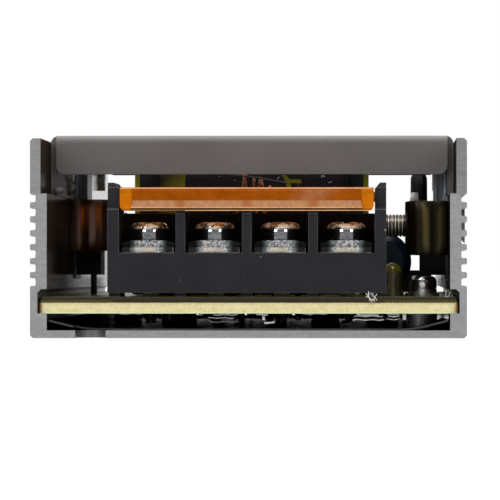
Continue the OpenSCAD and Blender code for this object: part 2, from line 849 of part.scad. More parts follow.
module input_terminal_screws() {
  color([0.75, 0.74, 0.72]) in_frame() terminal_screws(in_n);
}

module input_terminal_cover() {
  color([0.78, 0.43, 0.08, 0.7]) in_frame() hinged_strip(in_n);
}

// ---------- power devices on the side walls ----------

// A three-lead device standing on its leads. Its metal back is at X = 0 and faces +X.
module power_device(leads = true) {
  translate([-dev_t, -dev_w / 2, dev_z]) cube([dev_t, dev_w, dev_h]);
  difference() {
    translate([-1.3, -dev_w / 2, dev_z + dev_h - eps]) cube([1.3, dev_w, tab_h + eps]);
    translate([-3, 0, dev_z + dev_h + tab_h - 2.8]) rotate([0, 90, 0]) cylinder(r = 1.8, h = 5);
  }
  if (leads) device_leads(0);
}

module device_leads(gap) {
  z0 = slot_z - lead_tail;
  for (y = [-2.54, 0, 2.54])
    translate([-2.7 - gap, y - 0.4 - gap, z0 - (gap > 0 ? 1 : 0)])
      cube([0.6 + 2 * gap, 0.8 + 2 * gap, dev_z - z0 + eps + (gap > 0 ? 1 : 0)]);
}

// Bent clamp: a foot on the wall, an inward leg, and an arm that bears on the device.
module side_clamp() {
  t = side_clamp_t;
  reach = dev_t + pad_t;
  y0 = -dev_w / 2 - 8.2;
  arm = reach + 0.9 + t / 2;
  difference() {
    linear_extrude(side_clamp_h) {
      strip([
        [-t / 2, y0 - 2.2], [-t / 2, y0], [-arm, y0 + 1.4],
        [-arm, -dev_w / 2 + 0.4], [-reach - t / 2, -dev_w / 2 + 2.4], [-reach - t / 2, 1.6],
        [-arm - 0.1, 3.4]
      ], t, 1);
    }
    translate([0, -dev_w / 2 - 4.4, clamp_mid(0)]) rotate([0, -90, 0])
      cylinder(r = side_screw_r + fit, h = 3 * arm);
  }
}

// Device frame: X = 0 is the side wall's inner face, +X points into the wall.
module rect_frame() {
  at(inner, rect_y) children();
}

module switch_frame() {
  at(-inner, switch_y) mirror([1, 0, 0]) children();
}

module pad_sheet(z) {
  translate([-pad_t, -dev_w / 2 - 0.8, z]) cube([pad_t, dev_w + 1.6, ledge_z - z - 0.1]);
}

// Silicone sheath pushed over a device's tab, open towards the wall.
module tab_sheath() {
  z = dev_z + dev_h;
  w = dev_w + 2 * fit;
  difference() {
    translate([-1.3 - fit - sheath_t, -w / 2 - sheath_t, z + fit])
      cube([1.3 + fit + sheath_t + fit, w + 2 * sheath_t, tab_h + sheath_t]);
    translate([-1.3 - fit, -w / 2, z - 1]) cube([4, w, tab_h + 1 + fit]);
  }
}

module device_pad() {
  pad_sheet(dev_z - 0.6);
  translate([-pad_t, 0, 0]) tab_sheath();
}

module rectifier_diode() {
  color([0.13, 0.13, 0.13]) rect_frame() translate([-pad_t, 0, 0]) power_device();
}

module rectifier_pad() {
  color([0.55, 0.58, 0.60]) rect_frame() device_pad();
}

module rectifier_clamp() {
  color([0.33, 0.28, 0.18]) rect_frame() translate([0, 0, rect_clamp_z]) side_clamp();
}

module rectifier_clamp_screw() {
  color([0.50, 0.46, 0.40])
  clamp_screw_point(1, rect_y, rect_clamp_z) flat_screw(side_screw_r, side_screw_l);
}

module switch_transistor() {
  color([0.13, 0.13, 0.13]) switch_frame() translate([-pad_t, 0, 0]) power_device();
}

module switch_pad() {
  color([0.45, 0.50, 0.55]) switch_frame() device_pad();
}

module switch_clamp() {
  color([0.33, 0.28, 0.18]) switch_frame() translate([0, 0, switch_clamp_z]) side_clamp();
}

module switch_clamp_screw() {
  color([0.50, 0.46, 0.40])
  clamp_screw_point(-1, switch_y, switch_clamp_z) flat_screw(side_screw_r, switch_screw_l);
}

// ---------- transformer ----------

core_w = trafo_w - 2 * tape_t;
core_h = trafo_h - trafo_base;
window_w = core_w - 2 * core_leg;
window_h = core_h - 2 * core_leg;
rail_y = trafo_l / 2 - 1.6;
tube_r = middle_r + fit + bobbin_t;

// Pin grid of the bobbin.
module trafo_pins() {
  for (s = [-1, 1], i = [-2:2]) translate([i * 5, s * rail_y, 0]) children();
}

// Places children at the winding's axis, which runs across the case.
module winding_axis() {
  at(trafo_x, trafo_y, board_top + trafo_base + core_h / 2) children();
}

// Closed frame of two ferrite halves, with a round middle leg across the case.
module transformer_core() {
  color([0.16, 0.16, 0.17])
  winding_axis() {
    difference() {
      translate([-core_w / 2, -core_d / 2, -core_h / 2]) cube([core_w, core_d, core_h]);
      translate([-window_w / 2, -core_d, -window_h / 2]) cube([window_w, 2 * core_d, window_h]);
    }
    translate([-window_w / 2 - eps, 0, 0]) rotate([0, 90, 0])
      cylinder(r = middle_r, h = window_w + 2 * eps);
  }
}

module transformer_bobbin() {
  w = window_w - 2 * fit;
  h = window_h - 2 * fit;
  color([0.10, 0.10, 0.10]) {
    winding_axis() difference() {
      union() {
        translate([-w / 2, 0, 0]) rotate([0, 90, 0]) cylinder(r = tube_r, h = w);
        for (s = [-1, 1]) translate([s * (w - bobbin_t) / 2 - bobbin_t / 2, 0, 0]) {
          translate([0, -rail_y + 1, -h / 2]) cube([bobbin_t, 2 * rail_y - 2, h]);
          for (e = [-1, 1])
            translate([0, e * (rail_y - 1.5) - 1.5, -core_h / 2 - trafo_base + 0.2])
              cube([bobbin_t, 3, trafo_base + core_leg + 2]);
        }
        for (e = [-1, 1])
          translate([-w / 2, e * rail_y - 1.5, -core_h / 2 - trafo_base + 0.2]) cube([w, 3, 2.6]);
      }
      translate([-w, 0, 0]) rotate([0, 90, 0]) cylinder(r = middle_r + fit, h = 2 * w);
    }
    at(trafo_x, trafo_y, board_top) trafo_pins() lead(0.4);
  }
}

// The wound coil between the bobbin's flanges.
module transformer_winding() {
  w = window_w - 2 * bobbin_t - 4 * fit;
  h = window_h - 4 * fit;
  d = 2 * rail_y - 4;
  color([0.55, 0.50, 0.05])
  winding_axis() along_x(w) difference() {
    translate([-d / 2, -h / 2]) round_rect(d, h, 5);
    circle(tube_r + fit);
  }
}

// Tape wound around the outside of the core.
module transformer_tape() {
  d = core_d - 1;
  color([0.55, 0.52, 0.05])
  winding_axis() difference() {
    translate([-trafo_w / 2, -d / 2, -core_h / 2 - tape_t])
      cube([trafo_w, d, core_h + 2 * tape_t]);
    translate([-core_w / 2, -d, -core_h / 2]) cube([core_w, 2 * d, core_h]);
  }
}

// ---------- parts on the board ----------

module led_leads(gap) {
  for (s = [-1, 1]) at(led_x + s * 0.9, led_y) translate([0, 0, -board_t - lead_tail])
    cylinder(r = 0.3 + gap, h = board_t + lead_tail + 1);
}

module power_led() {
  color([0.75, 0.72, 0.55])
  translate([0, 0, board_top]) {
    at(led_x, led_y) {
      cylinder(r = led_r + 0.2, h = 0.6);
      cylinder(r = led_r, h = led_h - led_r);
      translate([0, 0, led_h - led_r]) sphere(led_r);
    }
    intersection() {
      led_leads(0);
      at(led_x, led_y, -board_t - lead_tail) cylinder(r = 3, h = board_t + lead_tail + 0.3);
    }
  }
}

// A can standing on the board with a crimped groove near its foot.
module can(r, h) {
  rotate_extrude() polygon([
    [0, 0.2], [r - 0.4, 0.2], [r, 0.6], [r, 1.8], [r - 0.5, 2.2], [r - 0.5, 2.7],
    [r, 3.1], [r, h - 0.5], [r - 0.5, h], [r - 1.2, h], [r - 1.4, h - 0.2], [0, h - 0.2]
  ]);
}

module can_leads(pitch, gap) {
  for (s = [-1, 1]) translate([s * pitch / 2, 0, -board_t - lead_tail])
    cylinder(r = lead_r + gap, h = board_t + lead_tail + 0.3);
}

module bulk_capacitor() {
  color([0.10, 0.11, 0.16]) at(bulk_x, bulk_y, board_top) {
    can(bulk_r, bulk_h);
    can_leads(10, 0);
  }
}

module output_capacitors() {
  color([0.12, 0.13, 0.20]) for (x = out_cap_x) at(x, out_cap_y, board_top) {
    can(out_cap_r, out_cap_h);
    can_leads(3.5, 0);
  }
}

// A flat-lying ring core with rounded edges.
module ring(r_in, r_out, t, c) {
  rotate_extrude() polygon([
    [r_in, c], [r_in + c, 0], [r_out - c, 0], [r_out, c],
    [r_out, t - c], [r_out - c, t], [r_in + c, t], [r_in, t - c]
  ]);
}

module output_choke_core() {
  color([0.75, 0.66, 0.12]) at(choke_x, choke_y, board_top + 1.3)
    ring(choke_r - 4.6, choke_r - 1.1, choke_t, 0.5);
}

// Wire turns laid around the ring, each a rounded rectangular loop.
module turns(r_in, r_out, t, d, a0, a1, n) {
  for (i = [0:n - 1]) rotate(a0 + (a1 - a0) * i / (n - 1)) difference() {
    translate([r_in - d, -d / 2, -d]) cube([r_out - r_in + 2 * d, d, t + 2 * d]);
    translate([r_in - fit, -d, -fit]) cube([r_out - r_in + 2 * fit, 2 * d, t + 2 * fit]);
  }
}

module output_choke_winding() {
  color([0.72, 0.42, 0.22]) at(choke_x, choke_y, board_top + 1.3) {
    turns(choke_r - 4.6, choke_r - 1.1, choke_t, 1.0, 20, 340, 14);
  }
}

module line_choke_core() {
  color([0.30, 0.34, 0.28]) at(line_x, line_y, board_top + 2 + line_r) rotate([90, 0, 0])
    translate([0, 0, -line_t / 2]) ring(line_r - 5, line_r - 1.6, line_t, 0.5);
}

module line_choke_windings() {
  color([0.72, 0.42, 0.22]) at(line_x, line_y, board_top + 2 + line_r) rotate([90, 0, 0])
    translate([0, 0, -line_t / 2]) {
      turns(line_r - 5, line_r - 1.6, line_t, 1.1, -65, 65, 10);
      turns(line_r - 5, line_r - 1.6, line_t, 1.1, 115, 245, 10);
    }
  color([0.72, 0.42, 0.22]) line_choke_points() lead(3.6);
}

// The four lead positions under the line choke's lowest turns.
module line_choke_points() {
  for (x = [-1, 1], y = [-1, 1])
    at(line_x + x * (line_r - 0.5) * sin(25), line_y + y * (line_t / 2 + 0.5), board_top) children();
}

module bridge_rectifier() {
  color([0.12, 0.12, 0.12]) at(bridge_x, bridge_y, board_top) {
    difference() {
      translate([-bridge_w / 2, -bridge_t / 2, 1.5]) cube([bridge_w, bridge_t, bridge_h]);
      translate([bridge_w / 2, -bridge_t, 1.5 + bridge_h]) rotate([0, 45, 0])
        translate([-1.6, 0, -1.6]) cube([3.2, 2 * bridge_t, 3.2]);
    }
    for (i = [-1.5, -0.5, 0.5, 1.5]) translate([i * 3.8, 0, 0]) lead(1.6);
  }
}

// Glass tube fuse lying across the board between two end caps with leads.
module mains_fuse() {
  z = board_top + fuse_r + 0.3;
  color([0.80, 0.80, 0.78]) at(fuse_x, fuse_y, z) rotate([0, 90, 0]) {
    translate([0, 0, -fuse_l / 2]) cylinder(r = fuse_r - 0.25, h = fuse_l);
    for (s = [-1, 1]) translate([0, 0, s * (fuse_l / 2 - 1.5) - 2]) cylinder(r = fuse_r, h = 4);
  }
  color([0.8, 0.8, 0.78]) for (s = [-1, 1])
    at(fuse_x + s * (fuse_l / 2 - 1.5), fuse_y, board_top) lead(1.6);
}

// A disc standing on two leads, its flat faces along Y, the leads set off its middle by back.
module disc(r, t, lift, back = 0) {
  translate([0, 0, lift + r]) rotate([90, 0, 0]) translate([0, 0, -t / 2]) rotate_extrude()
    polygon([[0, 0], [r - 1.2, 0], [r - 0.4, 0.12 * t], [r, 0.28 * t], [r, 0.72 * t],
      [r - 0.4, 0.88 * t], [r - 1.2, t], [0, t]]);
  for (s = [-1, 1]) translate([s * 2.5, back, 0]) lead(lift + r / 2);
}

module inrush_thermistor() {
  color([0.16, 0.17, 0.15]) at(ntc_x, ntc_y, board_top) rotate(-90)
    disc(ntc_r, ntc_t, ntc_lift, ntc_lead);
}

module surge_varistor() {
  color([0.12, 0.25, 0.50]) at(mov_x, mov_y, board_top) disc(small_disc_r, small_disc_t, 1);
}

module line_filter_capacitor() {
  color([0.80, 0.72, 0.20]) at(boxcap_x, boxcap_y, board_top) {
    translate([0, 0, 0.3]) round_box(box_t, box_w, box_h, 0.6);
    for (s = [-1, 1]) translate([0, s * 7.5, 0]) lead(0.5);
  }
}

module disc_capacitors() {
  color([0.10, 0.24, 0.36]) for (p = discs)
    at(p[0], p[1], board_top) rotate(p[2]) disc(disc_r, disc_t, disc_lift);
}

leg_x = chip_w / 2 + 0.25;
leg_t = 0.6;

// A dual-in-line chip with legs through the board.
module chip(l, n) {
  translate([-chip_w / 2, -l / 2, 0.5]) cube([chip_w, l, chip_h]);
  for (s = [-1, 1], i = [0:n - 1]) translate([s * leg_x, (i - (n - 1) / 2) * leg_pitch, 0])
    translate([-leg_t / 2, -leg_t / 2, -board_t - lead_tail])
      cube([leg_t, leg_t, board_t + lead_tail + 0.5 + chip_h / 2]);
}

module control_chips() {
  color([0.09, 0.09, 0.10]) {
    at(chip_x, chip_y, board_top) chip(chip_l, 4);
    at(chip_x, opto_y, board_top) chip(opto_l, 2);
  }
}

// Every hole for a lead through the board, in the board's top frame.
module all_leads(gap) {
  rect_leads_at(gap);
  led_leads(gap);
  at(bulk_x, bulk_y) can_leads(10, gap);
  for (x = out_cap_x) at(x, out_cap_y) can_leads(3.5, gap);
  for (p = discs) at(p[0], p[1]) rotate(p[2]) pair_hole(2.5, gap);
  translate([0, 0, -board_top]) line_choke_points() lead_hole(gap);
  at(mov_x, mov_y) pair_hole(2.5, gap);
  at(ntc_x + ntc_lead, ntc_y) rotate(90) pair_hole(2.5, gap);
  at(fuse_x, fuse_y) pair_hole(fuse_l / 2 - 1.5, gap);
  at(boxcap_x, boxcap_y) rotate(90) pair_hole(7.5, gap);
  for (i = [-1.5, -0.5, 0.5, 1.5]) at(bridge_x + i * 3.8, bridge_y) lead_hole(gap);
  at(trafo_x, trafo_y) trafo_pins() lead_hole(gap);
  for (p = [[chip_y, 4], [opto_y, 2]]) for (s = [-1, 1], i = [0:p[1] - 1])
    at(chip_x + s * leg_x, p[0] + (i - (p[1] - 1) / 2) * leg_pitch)
      translate([-leg_t / 2 - fit, -leg_t / 2 - fit, -4]) cube([leg_t + 2 * fit, leg_t + 2 * fit, 8]);
  translate([0, 0, -board_top]) {
    out_frame() contact_slots(out_n, gap);
    in_frame() contact_slots(in_n, gap);
  }
}

module lead_hole(gap) {
  translate([0, 0, -board_t - 1]) cylinder(r = lead_r + gap, h = board_t + 2);
}

module pair_hole(x, gap) {
  for (s = [-1, 1]) translate([s * x, 0, 0]) lead_hole(gap);
}

module rect_leads_at(gap) {
  translate([0, 0, -board_top]) {
    rect_frame() translate([-pad_t, 0, 0]) device_leads(gap);
    switch_frame() translate([-pad_t, 0, 0]) device_leads(gap);
  }
}

module contact_slots(n, gap) {
  for (i = [0:n - 1]) translate([cell_x(n, i) - 1.1 - gap, leg_y - gap, -board_t - 1])
    cube([2.2 + 2 * gap, contact_t + 2 * gap, board_t + 2]);
}

channel_housing();
mesh_cover();
cover_flanges();
cover_screws();
circuit_board();
board_standoffs();
board_screws();
insulating_film();
output_terminal_block();
output_contacts();
output_clamp_plates();
output_terminal_screws();
output_terminal_cover();
input_terminal_block();
input_contacts();
input_clamp_plates();
input_terminal_screws();
input_terminal_cover();
transformer_core();
transformer_bobbin();
transformer_winding();
transformer_tape();
power_led();
rectifier_diode();
rectifier_pad();
rectifier_clamp();
rectifier_clamp_screw();
switch_transistor();
switch_pad();
switch_clamp();
switch_clamp_screw();
bulk_capacitor();
output_capacitors();
output_choke_core();
output_choke_winding();
line_choke_core();
line_choke_windings();
bridge_rectifier();
mains_fuse();
inrush_thermistor();
surge_varistor();
line_filter_capacitor();
disc_capacitors();
control_chips();
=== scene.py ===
"""Slim switching power supply: finishes, fine pieces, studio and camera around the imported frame."""
import math

import bmesh
import bpy
from mathutils import Matrix, Vector


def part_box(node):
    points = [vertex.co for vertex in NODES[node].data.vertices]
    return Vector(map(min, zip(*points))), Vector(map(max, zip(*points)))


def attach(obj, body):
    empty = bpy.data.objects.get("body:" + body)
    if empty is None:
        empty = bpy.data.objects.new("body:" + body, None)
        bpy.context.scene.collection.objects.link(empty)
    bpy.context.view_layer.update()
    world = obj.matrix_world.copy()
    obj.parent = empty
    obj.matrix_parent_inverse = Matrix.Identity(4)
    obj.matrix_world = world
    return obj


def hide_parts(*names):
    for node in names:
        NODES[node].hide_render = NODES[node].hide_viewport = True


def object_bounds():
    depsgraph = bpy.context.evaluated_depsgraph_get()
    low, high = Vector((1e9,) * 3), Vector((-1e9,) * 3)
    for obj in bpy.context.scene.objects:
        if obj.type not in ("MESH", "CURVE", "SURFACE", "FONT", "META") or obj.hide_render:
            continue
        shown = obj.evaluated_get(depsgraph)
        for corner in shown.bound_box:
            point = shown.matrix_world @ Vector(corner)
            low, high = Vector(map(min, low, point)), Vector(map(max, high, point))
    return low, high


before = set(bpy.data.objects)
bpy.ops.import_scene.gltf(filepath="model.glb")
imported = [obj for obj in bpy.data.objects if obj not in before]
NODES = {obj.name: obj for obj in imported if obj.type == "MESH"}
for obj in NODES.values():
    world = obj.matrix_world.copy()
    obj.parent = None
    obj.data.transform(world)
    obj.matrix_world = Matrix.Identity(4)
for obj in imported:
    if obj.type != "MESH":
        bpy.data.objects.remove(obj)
cad_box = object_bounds()

MM = 0.001
FRONT = cad_box[0][1]


def mid(node, axis):
    """The middle of a node along one axis, in mm."""
    low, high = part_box(node)
    return (low[axis] + high[axis]) / 2 / MM


# Places and sizes in mm, for the finishes and the fine pieces. LEDGE is where the posts begin.
FRONT_MM = FRONT / MM
TOP_MM = cad_box[1][2] / MM
HALF_LENGTH = (cad_box[1][1] - cad_box[0][1]) / MM / 2
BOARD_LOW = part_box("circuit_board")[0][2] / MM
BOARD_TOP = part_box("circuit_board")[1][2] / MM
FILM_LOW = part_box("insulating_film")[0][2] / MM
UPPER_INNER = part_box("cover_flanges")[1][0] / MM + 0.15
LEDGE = 20.6
TERMINAL_PITCH = 9.5
PLATE_HALF = 3.8

# Brightness of the room on the camera's side in what polished parts mirror, and of the soft fill.
MIRRORED_ROOM = 0.3
SOFT_FILL = 0.32


# ---------------------------------------------------------------- shader maths

class Val:
    """A socket that adds, subtracts, multiplies and divides by building Math nodes."""

    def __init__(self, graph, out):
        self.graph, self.out = graph, out

    def _math(self, op, *values):
        return self.graph.node("ShaderNodeMath", {"operation": op}, values)

    def __add__(self, o):
        return self._math("ADD", self, o)

    def __sub__(self, o):
        return self._math("SUBTRACT", self, o)

    def __rsub__(self, o):
        return self._math("SUBTRACT", o, self)

    def __mul__(self, o):
        return self._math("MULTIPLY", self, o)

    def __truediv__(self, o):
        return self._math("DIVIDE", self, o)

    def above(self, limit, soft=0.0):
        """1 above the limit and 0 below it, with a soft step."""
        if soft <= 0:
            return self._math("GREATER_THAN", self, limit)
        return self.graph.range(self, limit - soft, limit + soft, 0.0, 1.0)

    def below(self, limit, soft=0.0):
        return 1 - self.above(limit, soft)

    def absolute(self):
        return self._math("ABSOLUTE", self, 0.0)

    def fraction(self):
        return self._math("FRACT", self)


class Graph:
    """A node tree and one short way to add nodes to it."""

    def __init__(self, tree):
        self.tree = tree

    def node(self, kind, settings=None, inputs=(), out=0):
        n = self.tree.nodes.new(kind)
        for key, value in (settings or {}).items():
            if key == "stops":
                ramp = n.color_ramp
                while len(ramp.elements) < len(value):
                    ramp.elements.new(1.0)
                for el, (pos, col) in zip(ramp.elements, value):
                    el.position, el.color = pos, (*col, 1)
            else:
                setattr(n, key, value)
        pairs = inputs.items() if isinstance(inputs, dict) else enumerate(inputs)
        for key, value in pairs:
            self.plug(value, n.inputs[key])
        return Val(self, n.outputs[out])

    def plug(self, value, socket):
        if isinstance(value, Val):
            self.tree.links.new(value.out, socket)
        else:
            if socket.type == "RGBA" and len(value) == 3:
                value = (*value, 1)
            socket.default_value = value

    def range(self, v, a, b, lo, hi):
        """Leads v from a..b to lo..hi, and holds it there outside."""
        return self.node("ShaderNodeMapRange", {"clamp": True}, [v, a, b, lo, hi])

    def ray(self, kind):
        return self.node("ShaderNodeLightPath", out=f"Is {kind} Ray")

    def shader_mix(self, factor, first, second):
        return self.node("ShaderNodeMixShader", {}, [factor, first, second])


class Mat(Graph):
    """One material, with patterns in millimetres on its piece."""

    def __init__(self, name):
        self.m = bpy.data.materials.new(name)
        self.m.use_nodes = True
        super().__init__(self.m.node_tree)
        self.bsdf = self.tree.nodes["Principled BSDF"]
        self.place = self.node("ShaderNodeTexCoord", out="Object")
        self.axes = self.node("ShaderNodeSeparateXYZ", {}, [self.place]).out.node.outputs

    def coords(self):
        """Object coordinates in millimetres, as X, Y, Z."""
        return [Val(self, axis) * 1000 for axis in self.axes]

    def stretched(self, stretch):
        """Object coordinates in millimetres as a vector, each axis times its stretch."""
        return self.node("ShaderNodeVectorMath", {"operation": "MULTIPLY"},
                         [self.place, tuple(1000 * s for s in stretch)])

    def noise(self, scale, detail=3.0, rough=0.5, stretch=(1, 1, 1)):
        """Noise with about `scale` cells to the millimetre."""
        return self.node("ShaderNodeTexNoise", {}, {
            "Vector": self.stretched(stretch), "Scale": scale, "Detail": detail,
            "Roughness": rough})

    def spread(self, noise, lo, hi):
        """Spreads a noise, which mostly lies between 0.3 and 0.7, over lo..hi."""
        return self.range(noise, 0.3, 0.7, lo, hi)

    def mix(self, t, a, b):
        return self.node("ShaderNodeMix", {"data_type": "RGBA"}, {0: t, 6: a, 7: b}, out=2)

    def blend(self, t, a, b):
        return self.node("ShaderNodeMix", {"data_type": "FLOAT"}, {0: t, 2: a, 3: b})

    def ramp(self, v, stops):
        return self.node("ShaderNodeValToRGB", {"stops": stops}, [v])

    def tones(self, v, dark, light, low=0.35, high=0.65):
        """From the dark tone to the light one as v goes from low to high."""
        return self.ramp(v, [(low, dark), (high, light)])

    def bump(self, height, distance, strength=0.5):
        b = self.node("ShaderNodeBump", {}, {
            "Strength": strength, "Distance": distance * MM, "Height": height})
        self.plug(b, self.bsdf.inputs["Normal"])

    def set(self, **values):
        for key, value in values.items():
            self.plug(value, self.bsdf.inputs[key.replace("_", " ")])

    def cover(self, factor, film):
        """Lays another shader over part of the finish."""
        both = self.shader_mix(factor, Val(self, self.bsdf.outputs[0]), film)
        self.plug(both, self.tree.nodes["Material Output"].inputs[0])

    def paint_matt_layer(self, factor, colour):
        """Covers part of the finish with a matt layer of one colour, which here paints shade on some
        finishes and reflections on others.
        """
        self.cover(factor, self.node("ShaderNodeBsdfDiffuse", {}, [colour]))


def srgb(r, g, b):
    """Linear colour from 0 to 255 display values."""
    def lin(c):
        c /= 255
        return c / 12.92 if c <= 0.04045 else ((c + 0.055) / 1.055) ** 2.4
    return (lin(r), lin(g), lin(b))


# ---------------------------------------------------------------- finishes

def extruded_aluminium():
    """Brushed outside, dull saw cut at both ends, and a smooth drawn surface inside. Painted shade
    darkens the inside towards the output end, the faces of the floor's slot, and the saw cut on the
    upper posts, the right one most.
    """
    m = Mat("extruded_aluminium")
    x, y, z = m.coords()
    between_walls = x.absolute().below(UPPER_INNER)
    inside = between_walls * z.above(FILM_LOW - 0.02)
    notch = between_walls * z.above(0.02) * (1 - inside)
    cut = y.absolute().above(HALF_LENGTH - 0.03)
    die = m.noise(2.2, 4, 0.6, (1, 0.02, 1))
    grain = m.noise(3.4, 6, 0.7)
    streak = m.noise(1.1, 5, 0.6, (0.35, 1, 1.6))

    side = m.tones(die, srgb(146, 146, 147), srgb(168, 168, 170), 0.3, 0.7)
    # Painted shade: the drawn inside is darker and browner towards the output end.
    shaded_drawn = m.tones(die, srgb(54, 48, 41), srgb(88, 79, 70), 0.3, 0.7)
    less_shaded_drawn = m.tones(die, srgb(122, 121, 120), srgb(142, 141, 140), 0.3, 0.7)
    towards_input = y.above(30, 28)
    drawn = m.mix(towards_input, shaded_drawn, less_shaded_drawn)
    sawn = m.ramp(grain * 0.72 + streak * 0.28, [
        (0.32, srgb(118, 118, 119)), (0.5, srgb(136, 136, 137)), (0.72, srgb(154, 154, 155))])
    # Painted shade on the saw cut above the ledge, twice as strong on the right post.
    post = z.above(LEDGE, 0.4) * m.spread(streak, 0.9, 0.5) * m.blend(x.above(0), 0.5, 1.0)
    sawn = m.mix(post, sawn, srgb(106, 106, 107))
    # The faces of the slot in the floor are painted darker grey: painted shade in the recess.
    skin = m.mix(inside, m.mix(notch * 0.7, side, srgb(84, 84, 86)), drawn)

    skin_rough = m.blend(inside, 0.42, 0.16) + m.spread(die, 0.0, 0.08)
    m.set(Base_Color=m.mix(cut, skin, sawn),
          Metallic=m.blend(cut, m.blend(inside, 0.75, 1.0), 0.12),
          Roughness=m.blend(cut, skin_rough, m.spread(grain, 0.5, 0.62)))
    m.bump(m.blend(cut, die * m.blend(inside, 1, 0.35), grain), 0.04, 0.5)
    # Painted shade: a dark matt layer over the inside, strongest towards the output end.
    inner_shade = m.range(y, -34, 10, 0.82, 0.3)
    m.paint_matt_layer(inside * (1 - cut) * inner_shade, srgb(50, 40, 31))
    return m.m


def cover_paint():
    """Warm grey paint, paler on top of the end bends as a painted highlight, and glossy on the
    flanges' inner faces.
    """
    m = Mat("cover_paint")
    x, y, z = m.coords()
    fine = m.noise(4.5, 5, 0.7)
    broad = m.noise(0.12, 3, 0.5)
    lip_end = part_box("cover_flanges")[1][1] / MM
    paint = m.tones(fine * 0.6 + broad * 0.4, srgb(88, 84, 83), srgb(100, 96, 95))
    # Painted highlight along the top of the end bends.
    edge_highlight = z.above(TOP_MM - 0.4, 0.22) * y.absolute().above(lip_end - 0.9, 0.3)
    off = x.absolute()
    flange = off.above(UPPER_INNER - 1.4) * off.below(UPPER_INNER - 1.0) * y.above(-12)
    m.set(Base_Color=m.mix(edge_highlight * 0.8, paint, srgb(152, 150, 149)),
          Roughness=m.blend(flange, m.spread(fine, 0.38, 0.5), 0.1), Metallic=0.0,
          Specular_IOR_Level=0.4)
    m.bump(fine, 0.03, 0.45)
    return m.m


def laminate():
    """Glass laminate: pale cut edges, darker tan at the ends as painted shade where they sit in the
    wall slots, a snapped olive bevel, coated faces and a solder mask.
    """
    m = Mat("laminate")
    x, _, z = m.coords()
    fibre = m.noise(3.0, 5, 0.7, (1, 1, 0.4))
    patches = m.noise(0.9, 3, 0.5, (1, 1, 1.5))
    off = x.absolute()
    corner, snapped = off.above(29.55, 0.25), off.above(19.5, 0.4)
    bevel_foot = BOARD_TOP - 0.84
    coated = z.above(BOARD_TOP - 0.03)

    tool = m.node("ShaderNodeTexWave", {"bands_direction": "DIAGONAL"}, {
        "Vector": m.stretched((1, 0, 1)), "Scale": 1.2, "Distortion": 2.2, "Detail": 2.0}, out=1)
    marks = tool * z.below(BOARD_TOP - 0.48, 0.1) * z.above(BOARD_TOP - 0.82, 0.04) * snapped
    edge = m.ramp(fibre * 0.6 + patches * 0.4, [
        (0.3, srgb(196, 178, 120)), (0.5, srgb(214, 204, 154)), (0.8, srgb(228, 221, 182))])
    # The ends, inside the wall slots, are darker tan: painted shade.
    edge = m.mix(corner * 0.8, edge, srgb(168, 118, 58))
    bevel = m.mix(marks, m.tones(fibre, srgb(28, 25, 12), srgb(46, 42, 22), 0.3, 0.7),
                  srgb(98, 90, 52))
    face = m.tones(m.noise(0.35, 4, 0.6), srgb(84, 78, 40), srgb(112, 105, 58))
    under = m.tones(m.noise(0.5, 3, 0.6), srgb(90, 104, 70), srgb(130, 142, 104))

    col = m.mix(z.above(bevel_foot), edge, bevel)
    col = m.mix(coated, col, face)
    col = m.mix(z.below(BOARD_LOW + 0.16, 0.05), col, srgb(204, 216, 176))
    m.set(Base_Color=m.mix(z.below(BOARD_LOW + 0.02), col, under),
          Roughness=m.blend(coated, m.spread(fibre, 0.5, 0.72), 0.3), Specular_IOR_Level=0.3)
    m.bump((fibre * 0.5 + marks * 0.8) * (1 - coated * 0.7), 0.06, 0.5)
    return m.m


def moulded(name, dark, light, rough, scale, bump, shine, specks=None):
    """Plastic, rubber or lacquer with a fine grain, slow shifts of tone and maybe pale specks."""
    m = Mat(name)
    n = m.noise(scale, 5, 0.65)
    broad = m.noise(0.25, 3, 0.5)
    col = m.tones(n * 0.5 + broad * 0.5, dark, light)
    if specks:
        col = m.mix(m.range(m.noise(1.4, 2, 0.5), 0.735, 0.76, 0, 1), col, specks)
    m.set(Base_Color=col, Roughness=m.spread(n, rough - 0.07, rough + 0.07),
          Specular_IOR_Level=shine)
    m.bump(n, bump, 0.4)
    return m.m


def plated(name, dark, light, rough, scale, metallic, bump):
    """Plated or lacquered metal, a little uneven in tone and polish."""
    m = Mat(name)
    n = m.noise(scale, 5, 0.6)
    m.set(Base_Color=m.tones(n, dark, light), Metallic=metallic,
          Roughness=m.spread(n, rough * 0.7, rough * 1.4))
    m.bump(n, bump, 0.4)
    return m.m


def struck_nickel():
    """Nickel on a screw head, toned dark as painted shade; its crown, dented by the driver, is paler,
    with a warm matt film that paints reflections of the orange strip and the lamps.
    """
    m = Mat("struck_nickel")
    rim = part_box("output_terminal_screws")[1][2] / MM - 0.86
    crown = m.coords()[2].above(rim, 0.2)
    dents = m.noise(0.75, 2, 0.5, (1, 1, 1.6))
    fine = m.noise(1.4, 4, 0.6)
    nickel = m.tones(fine, (0.3, 0.31, 0.33), (0.4, 0.41, 0.42))
    # The crown is paler, a painted reflection; below it the nickel is darker than bare nickel,
    # painted shade.
    m.set(Base_Color=m.mix(crown, nickel, (0.66, 0.64, 0.61)), Metallic=1.0,
          Roughness=m.blend(crown, m.spread(fine, 0.07, 0.12),
                            m.range(dents, 0.4, 0.6, 0.1, 0.34)))
    m.bump(fine * 0.015 + dents * crown, 0.7, 0.6)
    # A warm matt film on the crown's dents paints the reflection of the orange strip and of the
    # lamps.
    m.paint_matt_layer(crown * m.range(dents, 0.45, 0.52, 0.12, 0.85), srgb(255, 240, 208))
    return m.m


